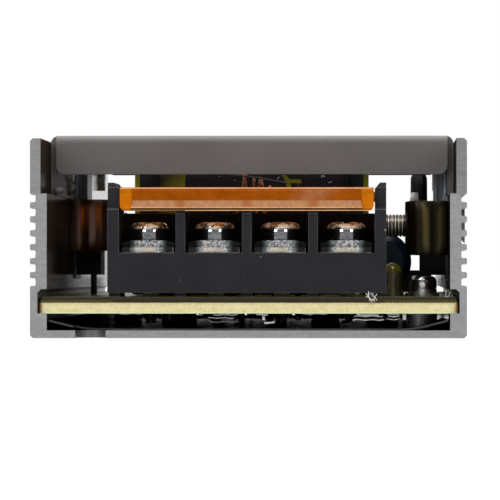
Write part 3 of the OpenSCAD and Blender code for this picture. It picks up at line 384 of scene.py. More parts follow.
def clear_orange():
    """Clear orange strip: brighter ends, painted light as if lit through from behind, a pale slanting
    band, dust and a few scratches.
    """
    m = Mat("clear_orange")
    x, y, z = m.coords()
    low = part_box("output_terminal_cover")[0][2] / MM
    n = m.noise(0.5, 3, 0.5)
    input_end = y.above(0)
    middle = m.blend(input_end, mid("output_terminal_cover", 0), 0.0)
    flat_half = m.blend(input_end, 16.5, 11.6)

    col = m.tones(n, srgb(182, 90, 0), srgb(200, 106, 2), 0.3, 0.7)
    # Painted light: the ends are brighter, as if the backdrop shone through them.
    col = m.mix((x - middle).absolute().above(flat_half, 0.12), col, srgb(226, 134, 6))
    # A pale slanting band across the strip.
    slanting_band = (m.range((x - z * 1.1 + 13.2).absolute(), 0.4, 3.4, 0.42, 0.0)
            * m.range(m.noise(0.8), 0.35, 0.65, 0.3, 1))
    col = m.mix(slanting_band, col, srgb(226, 178, 140))
    dust = m.noise(2.4, 2, 0.6).above(0.735) * m.noise(0.25, 2).above(0.5)
    col = m.mix(dust, col, srgb(236, 214, 190))
    scratches = (m.noise(0.9, 3, 0.7, (0.6, 1, 5)).above(0.62, 0.02)
                 * m.range(x, 4, 9, 0, 0.55) * z.above(low + 2.6))
    col = m.mix(scratches, col, srgb(246, 206, 176))
    m.set(Base_Color=m.mix(z.below(low + 0.12), col, srgb(224, 176, 132)),
          Roughness=m.spread(n, 0.1, 0.2), Transmission_Weight=0.5, IOR=1.22,
          Specular_IOR_Level=0.3)
    m.bump(m.noise(1.2), 0.02, 0.3)
    return m.m


def clear_lamp():
    """Clear lamp body, darker towards its sides as painted shade of its round form, with a
    yellow-green tip.
    """
    m = Mat("clear_lamp")
    x, _, z = m.coords()
    skin = (x - mid("power_led", 0)).absolute().above(0.9, 0.25)
    # Painted shade: the body is darker towards its sides.
    body = m.mix(skin, srgb(150, 138, 104), srgb(104, 92, 58))
    m.set(Base_Color=m.mix(z.above(BOARD_TOP + 3.5, 0.5), body, srgb(176, 164, 40)),
          Roughness=m.spread(m.noise(1.5), 0.05, 0.14), Transmission_Weight=0.8, IOR=1.45)
    return m.m


def bronzed_thread():
    """Bronzed screw thread, painted lighter along its top as lit and darker brown below as in the
    clamp's shade.
    """
    m = Mat("screw_thread")
    n = m.noise(1.5, 5, 0.6)
    shaded_thread_tone = m.tones(n, srgb(58, 40, 26), srgb(104, 78, 56))
    lit_thread_tone = m.tones(n, srgb(128, 112, 98), srgb(176, 160, 144))
    # Painted light and shade: the top of the thread is lit, the rest lies in the clamp's shade.
    top = m.coords()[2].above(mid("rectifier_clamp_screw", 2) + 0.25, 0.5)
    m.set(Base_Color=m.mix(top, shaded_thread_tone, lit_thread_tone), Metallic=0.8, Roughness=m.spread(n, 0.22, 0.42))
    m.bump(n, 0.03, 0.4)
    return m.m


def glossy_film():
    """Glossy insulating film with slow waves."""
    m = Mat("glossy_film")
    n = m.noise(0.08, 3, 0.5, (1, 0.3, 1))
    m.set(Base_Color=m.tones(n, srgb(38, 41, 45), srgb(56, 60, 66), 0.3, 0.7),
          Roughness=m.spread(m.noise(0.6), 0.16, 0.3), Specular_IOR_Level=0.4)
    m.bump(n, 0.5, 0.4)
    return m.m


def yellow_tape():
    """Layers of yellow tape, as even lines along Z."""
    m = Mat("yellow_tape")
    layer = 3.0
    hump = ((m.coords()[2] / layer).fraction() - 0.5).absolute() * 2
    m.set(Base_Color=m.mix(hump, srgb(160, 152, 6), srgb(120, 116, 2)), Roughness=0.3,
          Metallic=0.0)
    m.bump(1 - hump, 0.12, 0.7)
    return m.m


def coil():
    """Varnished wire with the end of its yellow tape on one side, the tape shaded by a painted
    gradient from dark at its upper left to lit at its lower right.
    """
    m = Mat("varnished_coil")
    wire_pitch, tape_width = 0.42, 4.1
    x, _, z = m.coords()
    wound = x.above(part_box("transformer_winding")[0][0] / MM + tape_width)
    hump = ((x / wire_pitch).fraction() - 0.5).absolute() * 2
    n = m.noise(0.6, 4, 0.6)
    varnish = m.mix(hump, m.tones(n, srgb(24, 14, 15), srgb(36, 24, 27)), srgb(12, 7, 8))
    varnish = m.mix(m.noise(1.3, 1, 0.5, (1, 1, 0.6)).above(0.745), varnish,
                    srgb(190, 186, 180))
    # Painted light and shade across the tape's curved edge.
    tape_shading = m.range(x - z * 0.35, -23.0, -15.5, 0, 1)
    tape = m.mix(tape_shading, srgb(34, 27, 6), srgb(140, 126, 0))
    m.set(Base_Color=m.mix(wound, tape, varnish), Roughness=m.spread(n, 0.4, 0.55),
          Specular_IOR_Level=0.05)
    m.bump((1 - hump) * wound, 0.1, 0.5)
    return m.m


def silicone():
    """Grey silicone sheath with upright streaks of painted shade and painted highlight."""
    m = Mat("silicone")
    streak = m.noise(1.5, 4, 0.7, (1, 1, 0.06))
    # Painted shade and highlights in upright streaks.
    m.set(Base_Color=m.ramp(streak, [
        (0.38, srgb(44, 49, 56)), (0.52, srgb(104, 112, 122)), (0.64, srgb(196, 202, 210))]),
          Roughness=m.spread(streak, 0.3, 0.45))
    m.bump(streak, 0.15, 0.5)
    return m.m


def clamp_steel(node, name, dark, light):
    """Passivated spring steel with soft upright bands that paint reflections along its bends; the
    switch clamp also has a paler part by the wall, a painted reflection, and orange patches that
    paint the reflection of the orange strip.
    """
    m = Mat(name)
    x, _, z = m.coords()
    off = x.absolute()
    low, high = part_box(node)
    wave = m.node("ShaderNodeMath", {"operation": "SINE"}, [off * 2.62 + 3.88])
    n = m.noise(0.4, 3, 0.5, (1, 1, 0.3))
    # Painted reflections: soft upright bands, lighter and darker, across the clamp.
    bands = m.range(wave + (n - 0.5) * 0.6, -0.2, 0.8, 0.0, 1.0) * off.above(24.5, 0.3)
    reflection_bands = bands * z.above(low[2] / MM + 1.0, 0.6) * z.below(high[2] / MM - 0.8, 0.5)
    col = m.mix(reflection_bands, dark, light)
    if node == "switch_clamp":
        # Painted reflection: a paler part next to the wall.
        col = m.mix(off.above(27.5, 0.3) * 0.8, col, srgb(196, 156, 136))
        # Painted reflection of the orange strip, in two orange patches.
        broad = m.range((x + 26.6).absolute(), 0.45, 0.7, 1.0, 0.0)
        narrow = m.range((x + 24.5).absolute(), 0.25, 0.5, 0.45, 0.0)
        strip_reflection = (broad + narrow) * z.above(16.9, 1.3) * z.below(19.6, 0.5)
        col = m.mix(strip_reflection, col, srgb(214, 108, 0))
    m.set(Base_Color=col, Metallic=0.85, Roughness=m.spread(n, 0.3, 0.38))
    return m.m


def from_cell(m, barrier=False):
    """How far a point is along X from the nearest cell's middle, or from a barrier, in mm."""
    x, y, _ = m.coords()
    first = m.blend(y.above(0), cells("output")[0], cells("input")[0])
    shift = 10.0 if barrier else 10.5
    return (((x - first) / TERMINAL_PITCH + shift).fraction() - 0.5).absolute() * TERMINAL_PITCH


def frosted_bar():
    """Frosted amber, a little darker where it lies over the block's barriers, as painted shade."""
    m = Mat("frosted_bar")
    n = m.noise(1.5, 5, 0.65)
    # Painted shade over the barriers.
    over = m.range(from_cell(m, barrier=True), 0.3, 1.1, 0.8, 0.0)
    col = m.tones(n, srgb(158, 106, 66), srgb(178, 128, 86))
    m.set(Base_Color=m.mix(over, col, srgb(150, 84, 30)), Roughness=m.spread(n, 0.4, 0.55),
          Specular_IOR_Level=0.3)
    m.bump(n, 0.02, 0.4)
    return m.m


def hammered(name, dark, light, scale):
    """Bright hammered steel, darkened by painted shade towards the sides of its cell."""
    m = Mat(name)
    # Painted shade: duller and darker away from the middle of the cell.
    bright = m.range(from_cell(m), 1.5, 2.7, 1.0, 0.0)
    n = m.noise(scale, 5, 0.7)
    grain = m.range(n, 0.36, 0.64, 0.0, 1.0)
    m.set(Base_Color=m.mix(grain * (bright * 0.94 + 0.06), dark, light), Metallic=1.0,
          Roughness=m.spread(n, 0.18, 0.36))
    m.bump(n, 0.16, 0.5)
    # Painted shade: a dark matt layer towards the sides of the cell.
    m.paint_matt_layer((1 - bright) * 0.85, srgb(18, 18, 20))
    return m.m


def cells(end):
    """X of the middle of each of a terminal block's cells, in mm."""
    low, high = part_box(end + "_clamp_plates")
    last = {"output": 3, "input": 2}[end]
    left, right = low[0] / MM + PLATE_HALF, high[0] / MM - PLATE_HALF
    return [left + (right - left) * i / last for i in range(last + 1)]


# Each row: name, dark tone, light tone, roughness, grains to the mm, bump in mm, shine, specks.
MOULDED = {
    "block": ("block_plastic", srgb(28, 28, 31), srgb(35, 35, 39), 0.55, 3.0, 0.015, 0.12,
              srgb(120, 120, 118)),
    # Pale rounded edges of the blocks: a painted highlight.
    "highlit_edges": ("painted_edge_highlight", srgb(52, 52, 55), srgb(112, 112, 115), 0.5, 1.3, 0.02, 0.2),
    "black": ("device_plastic", srgb(20, 20, 21), srgb(30, 30, 31), 0.5, 3.0, 0.03, 0.2),
    "ferrite": ("ferrite", srgb(28, 28, 30), srgb(42, 42, 44), 0.6, 1.5, 0.05, 0.2),
    "sleeve": ("can_sleeve", srgb(22, 24, 36), srgb(34, 36, 52), 0.3, 0.8, 0.01, 0.5),
    "yellow_coat": ("yellow_coat", srgb(196, 170, 40), srgb(214, 190, 60), 0.45, 1.0, 0.03, 0.5),
    "blue": ("blue_dip", srgb(8, 20, 32), srgb(14, 30, 46), 0.3, 0.7, 0.06, 0.25),
    "foam": ("grey_foam", srgb(96, 98, 102), srgb(140, 142, 146), 0.9, 0.3, 0.15, 0.0),
    "sealant": ("sealant", srgb(118, 114, 108), srgb(140, 136, 130), 0.5, 1.2, 0.03, 0.3),
    "fibre": ("glass_fibre", srgb(196, 192, 182), srgb(226, 222, 212), 0.4, 1.0, 0.01, 0.5),
    # Pale rims on the strips: painted highlights.
    "rim": ("painted_highlight_rim", srgb(214, 150, 92), srgb(232, 182, 128), 0.3, 1.5, 0.02, 0.4),
    # Dark strip in the strips' groove: painted shade.
    "groove": ("painted_groove_shade", srgb(66, 44, 8), srgb(92, 62, 18), 0.4, 1.5, 0.02, 0.2),
    "dusty": ("grey_thread", srgb(78, 76, 80), srgb(104, 102, 106), 0.6, 1.5, 0.02, 0.2),
    "glass": ("fuse_glass", srgb(190, 190, 186), srgb(214, 214, 210), 0.15, 0.8, 0.01, 0.5),
}

# Each row: name, dark tone, light tone, roughness, patches to the mm, metallic, bump in mm.
PLATED = {
    "nickel": ("nickel_plate", (0.56, 0.55, 0.53), (0.74, 0.73, 0.71), 0.1, 0.9, 1.0, 0.16),
    "tin": ("tinned_brass", srgb(160, 150, 140), srgb(190, 180, 168), 0.4, 2.0, 0.6, 0.03),
    "zinc": ("zinc_plate", (0.5, 0.5, 0.48), (0.66, 0.66, 0.64), 0.42, 1.2, 0.6, 0.03),
    "brass_olive": ("passivated_steel", srgb(78, 66, 44), srgb(92, 78, 52), 0.27, 0.5, 1.0, 0.01),
    "copper": ("enamelled_copper", srgb(150, 84, 48), srgb(206, 132, 84), 0.3, 0.9, 0.6, 0.03),
    # Paler rounded clamp edges: a painted highlight.
    "clamp_rim_highlight": ("clamp_rim_highlight", srgb(96, 90, 76), srgb(168, 158, 138), 0.35, 0.7, 0.6, 0.03),
    "solder": ("solder", (0.56, 0.56, 0.56), (0.7, 0.7, 0.7), 0.3, 1.2, 1.0, 0.03),
}

FINISH = {key: moulded(*row) for key, row in MOULDED.items()}
FINISH.update({key: plated(*row) for key, row in PLATED.items()})
FINISH.update({
    "aluminium": extruded_aluminium(), "paint": cover_paint(), "laminate": laminate(),
    "struck": struck_nickel(), "orange": clear_orange(), "bar": frosted_bar(),
    "lamp": clear_lamp(), "film": glossy_film(), "tape": yellow_tape(), "coil": coil(),
    "silicone": silicone(), "thread": bronzed_thread(),
    "clamp_plate": hammered("clamp_plate_steel", (0.06, 0.07, 0.08), (0.62, 0.64, 0.64),
                            scale=2.6),
    "contact_lip": hammered("hammered_steel", (0.05, 0.055, 0.06), (0.62, 0.64, 0.64), scale=4.0),
    "clamp_out": clamp_steel("rectifier_clamp", "clamp_steel_out", srgb(40, 34, 22),
                             srgb(80, 70, 40)),
    "clamp_in": clamp_steel("switch_clamp", "clamp_steel_in", srgb(78, 51, 38),
                            srgb(142, 112, 98)),
})

NODES_IN_FINISH = {
    "aluminium": ["channel_housing"],
    "paint": ["mesh_cover", "cover_flanges"],
    "laminate": ["circuit_board"],
    "film": ["insulating_film"],
    "zinc": ["cover_screws", "board_standoffs", "rectifier_clamp_screw", "switch_clamp_screw"],
    "nickel": ["board_screws"],
    "block": ["output_terminal_block", "input_terminal_block"],
    "tin": ["output_contacts", "input_contacts"],
    "clamp_plate": ["output_clamp_plates", "input_clamp_plates"],
    "struck": ["output_terminal_screws", "input_terminal_screws"],
    "orange": ["output_terminal_cover", "input_terminal_cover"],
    "ferrite": ["transformer_core", "line_choke_core"],
    "tape": ["transformer_tape"],
    "coil": ["transformer_winding"],
    "lamp": ["power_led"],
    "silicone": ["rectifier_pad", "switch_pad"],
    "brass_olive": ["rectifier_clamp", "switch_clamp"],
    "black": ["transformer_bobbin", "rectifier_diode", "switch_transistor", "bridge_rectifier",
              "inrush_thermistor", "control_chips"],
    "sleeve": ["bulk_capacitor", "output_capacitors"],
    "yellow_coat": ["output_choke_core", "line_filter_capacitor"],
    "copper": ["output_choke_winding", "line_choke_windings"],
    "glass": ["mains_fuse"],
    "blue": ["surge_varistor", "disc_capacitors"],
}

for finish, node_names in NODES_IN_FINISH.items():
    for node_name in node_names:
        materials = NODES[node_name].data.materials
        materials.clear()
        materials.append(FINISH[finish])


# ---------------------------------------------------------------- fine pieces

def finished(name, bm, finish, body="unit", sharp=35):
    """Makes a mesh of bm in its finish, and lets it ride on its body."""
    bmesh.ops.remove_doubles(bm, verts=bm.verts, dist=1e-7)
    bmesh.ops.recalc_face_normals(bm, faces=bm.faces)
    mesh = bpy.data.meshes.new(name)
    bm.to_mesh(mesh)
    bm.free()
    mesh.materials.append(FINISH[finish])
    mesh.shade_smooth()
    mesh.set_sharp_from_angle(angle=math.radians(sharp))
    ob = bpy.data.objects.new(name, mesh)
    bpy.context.scene.collection.objects.link(ob)
    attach(ob, body)
    return ob


def turned(bm, profile, axis, place, steps=32):
    """Spins an open (radius, height) profile round an axis and puts it in place. Sizes in mm."""
    before = set(bm.verts)
    verts = [bm.verts.new((r * MM, 0, h * MM)) for r, h in profile]
    edges = [bm.edges.new(pair) for pair in zip(verts, verts[1:])]
    bmesh.ops.spin(bm, geom=verts + edges, cent=(0, 0, 0), axis=(0, 0, 1), angle=math.tau,
                   steps=steps, use_merge=True)
    fresh = [v for v in bm.verts if v not in before]
    turn = Vector((0, 0, 1)).rotation_difference(Vector(axis)).to_matrix().to_4x4()
    move = Matrix.Translation(Vector(place) * MM) @ turn
    bmesh.ops.transform(bm, matrix=move, verts=fresh)


def boxes(bm, rows, soft):
    """Blocks with softened edges, each (low x, high x, low y, high y, low z, high z) in mm."""
    for x0, x1, y0, y1, z0, z1 in rows:
        made = bmesh.ops.create_cube(bm, size=1)["verts"]
        bmesh.ops.scale(bm, vec=Vector((x1 - x0, y1 - y0, z1 - z0)) * MM, verts=made)
        bmesh.ops.translate(bm, vec=Vector((x0 + x1, y0 + y1, z0 + z1)) * MM / 2, verts=made)
        bmesh.ops.bevel(bm, geom=list({e for v in made for e in v.link_edges}), segments=3,
                        offset=soft * MM, affect="EDGES", profile=0.5, material=-1)


def drawn_out(bm, corners, way):
    """A block: a flat face with these corners, drawn out by way. Sizes in mm."""
    face = bm.faces.new([bm.verts.new([c * MM for c in corner]) for corner in corners])
    out = bmesh.ops.extrude_face_region(bm, geom=[face])
    moved = [g for g in out["geom"] if isinstance(g, bmesh.types.BMVert)]
    bmesh.ops.translate(bm, verts=moved, vec=[step * MM for step in way])


def bar(bm, x0, half, half_top, z0, z1, face, sign, depth):
    """A flat bar that stands proud of a front face, with another width at its top. Sizes in mm."""
    drawn_out(bm, [(x0 - half, face, z0), (x0 + half, face, z0), (x0 + half_top, face, z1),
                   (x0 - half_top, face, z1)], (0, -sign * depth, 0))


def wire(bm, points, radius, sides=8):
    """A round wire through the points: a disc drawn out step by step and turned at each bend."""
    pts = [Vector(p) * MM for p in points]
    ways = [(q - p).normalized() for p, q in zip(pts, pts[1:])]
    facing = ways[0]
    turn = Vector((0, 0, 1)).rotation_difference(facing).to_matrix().to_4x4()
    disc = bmesh.ops.create_circle(bm, cap_ends=True, segments=sides, radius=radius * MM,
                                   matrix=Matrix.Translation(pts[0]) @ turn)["verts"]
    end = [disc[0].link_faces[0]]
    for i, way in enumerate(ways):
        out = bmesh.ops.extrude_face_region(bm, geom=end)["geom"]
        rim = [g for g in out if isinstance(g, bmesh.types.BMVert)]
        bmesh.ops.translate(bm, verts=rim, vec=pts[i + 1] - pts[i])
        bend = (way + ways[min(i + 1, len(ways) - 1)]).normalized()
        bmesh.ops.rotate(bm, verts=rim, cent=pts[i + 1],
                         matrix=facing.rotation_difference(bend).to_matrix())
        facing = bend
        end = [g for g in out if isinstance(g, bmesh.types.BMFace)]


def smooth_path(knots, steps=8):
    """Points of a smooth curve that passes through all the knots."""
    path = []
    for i in range(len(knots) - 1):
        a, b, c, d = (Vector(knots[max(0, min(len(knots) - 1, i + k))]) for k in (-1, 0, 1, 2))
        for k in range(steps):
            t = k / steps
            path.append(0.5 * (2 * b + (c - a) * t + (2 * a - 5 * b + 4 * c - d) * t * t
                               + (3 * b - a - 3 * c + d) * t ** 3))
    return path + [Vector(knots[-1])]


def soft_edges(ob, width, limit, edge_highlight=None):
    """Rounds the sharp edges, width in mm, and may give the rounding a finish of its own, a paler one
    that paints a highlight.
    """
    edge = ob.modifiers.new("edges", "BEVEL")
    edge.width, edge.segments = width * MM, 2
    edge.limit_method, edge.angle_limit = "ANGLE", math.radians(limit)
    if edge_highlight:
        ob.data.materials.append(FINISH[edge_highlight])
        edge.material = 1
    return edge


def softened(node, width, finish, edge_highlight=None):
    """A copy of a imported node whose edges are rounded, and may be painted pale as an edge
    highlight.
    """
    bm = bmesh.new()
    bm.from_mesh(NODES[node].data)
    bmesh.ops.remove_doubles(bm, verts=bm.verts, dist=2e-6)
    bmesh.ops.dissolve_degenerate(bm, edges=bm.edges, dist=1e-6)
    bmesh.ops.dissolve_limit(bm, angle_limit=math.radians(1.5), verts=bm.verts, edges=bm.edges)
    ob = finished(node + "_soft", bm, finish)
    soft_edges(ob, width, 38, edge_highlight).harden_normals = True
    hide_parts(node)


def screw_threads():
    """Ridges on the two clamp screws, from the clamp to the screw's tip."""
    pitch, core, root, crest = 0.5, 1.3, 1.49, 1.68
    for side, name, clamp in ((1, "rectifier_clamp_screw", "rectifier_clamp"),
                              (-1, "switch_clamp_screw", "switch_clamp")):
        near = 0 if side > 0 else 1
        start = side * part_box(clamp)[near][0] / MM
        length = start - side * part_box(name)[near][0] / MM
        profile = [(0.0, length + 0.02), (core, length + 0.02)]
        for i in range(int(length / pitch)):
            h = length - 0.1 - i * pitch
            profile += [(root, h), (crest, h - 0.16), (crest, h - 0.22), (root, h - 0.4)]
        bm = bmesh.new()
        turned(bm, profile, (-side, 0, 0), (side * start, mid(name, 1), mid(name, 2)))
        finished(name + "_thread", bm, "thread")


def solder_joints():
    """Cones of solder round the leads under the board."""
    pin_row, anchor_row, lead_pitch = FRONT_MM + 11.6, FRONT_MM + 16.2, 2.54
    # Each spot: X, Y, radius and height.
    spots = []

    def row(node, n, r, h, ends=0.0, y=None):
        """n joints of radius r and height h along a node's width, from ends inside it."""
        low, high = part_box(node)
        y = mid(node, 1) if y is None else y
        for i in range(n):
            t = 0.5 if n == 1 else i / (n - 1)
            spots.append(((low[0] / MM + ends) * (1 - t) + (high[0] / MM - ends) * t, y, r, h))

    for name, sign in (("output", 1), ("input", -1)):
        for x in cells(name):
            spots.append((x, sign * pin_row, 2.0, 1.5))
            spots.append((x + 3.3, sign * anchor_row, 1.0, 0.9))
    row("power_led", 2, 0.8, 0.9, 0.8)
    for node in ("rectifier_diode", "switch_transistor"):
        for step in (-lead_pitch, 0, lead_pitch):
            row(node, 1, 0.9, 1.0, 0, mid(node, 1) + step)
    row("output_capacitors", 6, 0.9, 0.9, 2.2)
    row("control_chips", 2, 0.8, 0.7, 0.3)
    low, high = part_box("transformer_bobbin")
    for y in (low[1] / MM + 1.6, high[1] / MM - 1.6):
        row("transformer_bobbin", 5, 1.0, 1.0, 4.5, y)
    row("bulk_capacitor", 2, 1.1, 1.0, 5)
    row("line_choke_windings", 4, 1.0, 0.9, 2)
    row("mains_fuse", 2, 1.1, 0.9, 1.5)

    bm = bmesh.new()
    for x, y, r, h in spots:
        turned(bm, [(0, -h), (0.3 * r, -h), (0.45 * r, -0.75 * h), (0.6 * r, -0.4 * h),
                    (0.85 * r, -0.12 * h), (r, 0)], (0, 0, 1), (x, y, BOARD_LOW), steps=16)
    finished("solder_joints", bm, "solder")


def foam_strip():
    """A notched foam strip under the board, near the far end."""
    film, far = FILM_LOW + 0.25, -FRONT_MM - 22
    blocks = [(-19, -13), (-5.6, -4.6), (0.6, 2.6), (7, 12), (16.5, 22)]
    bm = bmesh.new()
    rows = [(-23, 23, far - 1.5, far + 1.5, film, film + 0.55)]
    rows += [(x0, x1, far - 1.4, far + 1.4, film + 0.3, BOARD_LOW) for x0, x1 in blocks]
    boxes(bm, rows, soft=0.12)
    finished("foam_strip", bm, "foam")


def solder_runs():
    """Wide uneven runs of solder that carry the output current under the board's front edge."""
    front, deep = FRONT_MM + 3.4, 1.2
    # Each row: low x, high x, setback, then how far its top and foot hang below the board.
    rows = [
        (15.5, 18.7, 0.1, 0, 0.36), (15.1, 19.3, 0, 0.3, 0.5), (14.9, 19.4, -0.1, 0.78, 1.02),
        (19.8, 21.6, 0.2, 0, 0.2), (20.0, 21.7, 0.1, 0.25, 0.5), (19.8, 21.7, 0.0, 0.74, 0.92),
        (22.1, 22.6, 0.2, 0, 0.95), (27.0, 28.7, 0.2, 0, 0.85), (1.1, 2.7, 0.3, 0, 0.3),
        (1.9, 2.3, 0.3, 0.2, 1.0), (2.2, 3.7, 0.2, 1.15, 1.5), (7.6, 11.3, 0.3, 0, 0.16),
        (13.0, 13.8, 0.2, 0.85, 1.0), (-5.2, -1.6, 0.9, 0.1, 0.3), (-5.9, -2.2, 0.9, 0.55, 0.75),
        (-5.6, -1.7, 1.0, 1.15, 1.3), (-18.6, -15.4, 0.3, 0, 0.14)]
    bm = bmesh.new()
    boxes(bm, [(x0, x1, front + back, front + back + deep, BOARD_LOW - foot, BOARD_LOW - top)
               for x0, x1, back, top, foot in rows], soft=0.06)
    long_edges = [e for e in bm.edges if e.calc_length() > 0.8 * MM]
    bmesh.ops.subdivide_edges(bm, edges=long_edges, cuts=6, use_grid_fill=True)
    wave = 0.07 * MM
    for v in bm.verts:
        lift = wave * math.sin(v.co.x * 3100) * math.cos(v.co.y * 3300)
        v.co.z = min(BOARD_LOW * MM, v.co.z + lift)
        v.co.y += wave * math.sin(v.co.x * 4300)
    finished("solder_runs", bm, "solder")


def strip_trim():
    """The frosted bar, the groove and bead under it and the pale rims of each hinged strip; the
    groove is a dark strip of painted shade, and the bead's line and the rims are pale painted
    highlights.
    """
    for node, body, sign in (("output_terminal_cover", "output_strip", 1),
                             ("input_terminal_cover", "input_strip", -1)):
        low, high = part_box(node)
        middle, half, top = mid(node, 0), (high[0] - low[0]) / 2 / MM, high[2] / MM
        face = (low[1] if sign > 0 else high[1]) / MM
        # Each bar: shift along X, inset of its foot and its top, drop of both, and depth.
        for suffix, finish, rows in (
                ("_bar", "bar", [(0, 3.1, 3.3, 2.85, 1.9, 0.1)]),
                # Pale lines: painted highlights.
                ("_rims", "rim", [(0, 3.0, 3.1, 2.95, 2.84, 0.14), (0, 1.5, 1.6, 0.2, 0.06, 0.06),
                                  (4.6, 6.2, 6.2, 3.36, 3.28, 0.06)]),
                # A dark strip: painted shade in the groove.
                ("_groove", "groove", [(0, 3.0, 3.1, 3.24, 2.96, 0.05)])):
            bm = bmesh.new()
            for shift, foot_in, top_in, foot, head, depth in rows:
                bar(bm, middle + sign * shift, half - foot_in, half - top_in, top - foot,
                    top - head, face, sign, depth)
            finished(node.replace("_cover", "") + suffix, bm, finish, body)


def terminal_fronts():
    """A folded steel lip under each clamp plate with a tinned tongue in its middle."""
    lip, lip_deep, tongue_deep = 3.62, 0.12, 0.25
    for name, sign in (("output", 1), ("input", -1)):
        low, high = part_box(name + "_contacts")
        face = (low[1] if sign > 0 else high[1]) / MM
        top = high[2] / MM
        steel, tongue = bmesh.new(), bmesh.new()
        for x in cells(name):
            bar(steel, x, lip, lip, top - 0.72, top - 0.02, face, sign, lip_deep)
            bar(tongue, x - 0.1 * sign, 1.35, 1.3, top - 0.66, top - 0.04,
                face - sign * lip_deep, sign, tongue_deep)
        bmesh.ops.bevel(tongue, geom=tongue.edges[:], offset=0.06 * MM, segments=2,
                        affect="EDGES", profile=0.5, material=-1)
        finished(name + "_contact_lips", steel, "contact_lip")
        finished(name + "_contact_tongues", tongue, "tin")


def transformer_front():
    """Lead-out wires, tape ends and a stray grey lead in front of the winding."""
    low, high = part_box("transformer_winding")
    y, z = low[1] / MM - 0.35, high[2] / MM
    copper, tabs, grey = bmesh.new(), bmesh.new(), bmesh.new()
    # Each lead: X, lean, how far down it starts, and how far up it ends.
    for x, lean, drop, rise in ((-2.3, 0.5, 4.6, 0.9), (-1.5, -0.4, 5.0, 0.4),
                                (-0.6, 0.1, 5.2, -0.2), (0.2, 0.2, 5.4, 0.0),
                                (1.0, -0.2, 5.2, -0.3), (1.5, 0.3, 4.8, -1.3)):
        wire(copper, [(x - lean * 2, y + 0.3, z - drop - 3), (x - lean, y - 0.5, z - drop),
                      (x, y - 0.7, z - drop + 1.6), (x + lean * 0.8, y - 0.5, z - 1.9 + rise),
                      (x + lean * 1.6, y + 0.4, z - 0.9 + rise)], 0.24)
    # Each tape end: low X, high X, foot and head from the winding's top, and slant.
    for x0, x1, foot, head, skew in ((4.4, 6.9, -1.75, -1.15, 0.2), (4.3, 5.0, -1.2, -0.5, 0.5),
                                     (4.9, 5.6, -3.0, -1.75, 0.5), (2.4, 3.4, -2.7, -2.4, 0.4)):
        drawn_out(tabs, [(x0, y - 0.5, z + foot), (x1, y - 0.5, z + foot),
                         (x1 - skew, y - 0.5, z + head), (x0 - skew, y - 0.5, z + head)],
                  (0, 0.15, 0))
    # The grey lead sags from left to right.
    wire(grey, [(-4.9 + 9.6 * t, y - 1.4, z - 0.3 - 1.0 * t - 0.5 * t * t)
                for t in (k / 8 for k in range(9))], 0.14)
    finished("winding_leads", copper, "copper")
    finished("winding_tape_ends", tabs, "tape")
    finished("winding_thread", grey, "dusty")


def stray_fibres():
    """Torn glass fibres on the board's front edge, as fine curved hairs."""
    bm = bmesh.new()
    # Each hair: X, setback from the front, rise over the board, reach along X and Z, bend.
    for x, back, up, dx, dz, bend in (
            (18.4, 0.4, -0.5, -0.8, 0.9, 0.2), (17.7, 0.4, -0.8, -0.9, 1.3, 0.3),
            (18.1, 0.5, -0.6, -1.3, 0.7, 0.2), (17.4, 0.4, -0.6, -0.2, 1.4, -0.2),
            (17.8, 0.5, -0.6, 0.6, 1.0, -0.2), (28.1, 1.0, -0.3, 0.2, 1.3, 0.2),
            (28.6, 1.0, -0.3, 0.3, 1.1, -0.2), (27.5, 1.0, -0.1, 1.3, 0.2, 0.1),
            (27.3, 1.1, -0.4, 1.2, 0.1, 0.1), (29.0, 1.0, -0.5, 0.1, 0.8, 0.2)):
        wire(bm, [(x + dx * t + bend * t * (1 - t), FRONT_MM + back, BOARD_TOP + up + dz * t)
                  for t in (0, 0.25, 0.5, 0.75, 1)], 0.055, sides=5)
    finished("stray_fibres", bm, "fibre")


def lint():
    """Short threads of dust on the front of the winding."""
    low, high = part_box("transformer_winding")
    bm = bmesh.new()
    # Each thread: X, drop from the winding's top, reach along X and Z.
    for x, down, dx, dz in ((7.4, 0.5, 0.15, 0.5), (9.9, 0.9, 0.1, 0.5), (10.4, 0.7, -0.4, 0.1),
                            (12.3, 0.3, 0.25, 0.8), (3.1, 1.1, 0.3, 0.3), (11.0, 1.7, 0.5, 0.2),
                            (6.2, 2.2, 0.2, 0.35)):
        start = Vector((x, low[1] / MM - 0.2, high[2] / MM - down))
        wire(bm, [start + Vector((dx * t, -0.2 * t, dz * t + 0.08 * math.sin(9 * t)))
                  for t in (0, 0.3, 0.6, 1)], 0.06, sides=5)
    finished("lint", bm, "fibre")


def flange_toe():
    """The folded toe at the end of the cover's flange and the dab of sealant behind it."""
    inner = -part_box("mesh_cover")[1][0] / MM
    end = -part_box("cover_flanges")[1][1] / MM
    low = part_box("cover_flanges")[0][2] / MM
    bm = bmesh.new()
    boxes(bm, [(inner - 0.3, inner + 1.0, end + 0.1, end + 2.4, low + 0.25, low + 1.2)], soft=0.4)
    finished("flange_toe", bm, "paint")
    bm = bmesh.new()
    bmesh.ops.create_icosphere(bm, subdivisions=3, radius=0.95 * MM)
    for v in bm.verts:
        v.co *= 1 + 0.14 * math.sin(v.co.z * 5200) * math.cos(v.co.y * 4300)
    bmesh.ops.translate(bm, vec=Vector((inner + 0.15, end + 26, low + 1.45)) * MM, verts=bm.verts)
    finished("sealant_dab", bm, "sealant", sharp=180)


def clamp_tab():
    """The bent end of the output side clamp, which stands a little above it."""
    low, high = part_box("rectifier_clamp")
    y, z = low[1] / MM + 9.5, high[2] / MM
    bm = bmesh.new()
    drawn_out(bm, [(23.0, y, z - 0.6), (24.6, y, z - 0.4), (24.5, y, z + 1.5), (23.5, y, z + 1.55)],
              (0, 1.2, -0.2))
    bmesh.ops.bevel(bm, geom=bm.edges[:], offset=0.12 * MM, segments=2, affect="EDGES",
                    profile=0.5, material=-1)
    finished("clamp_tab", bm, "zinc")


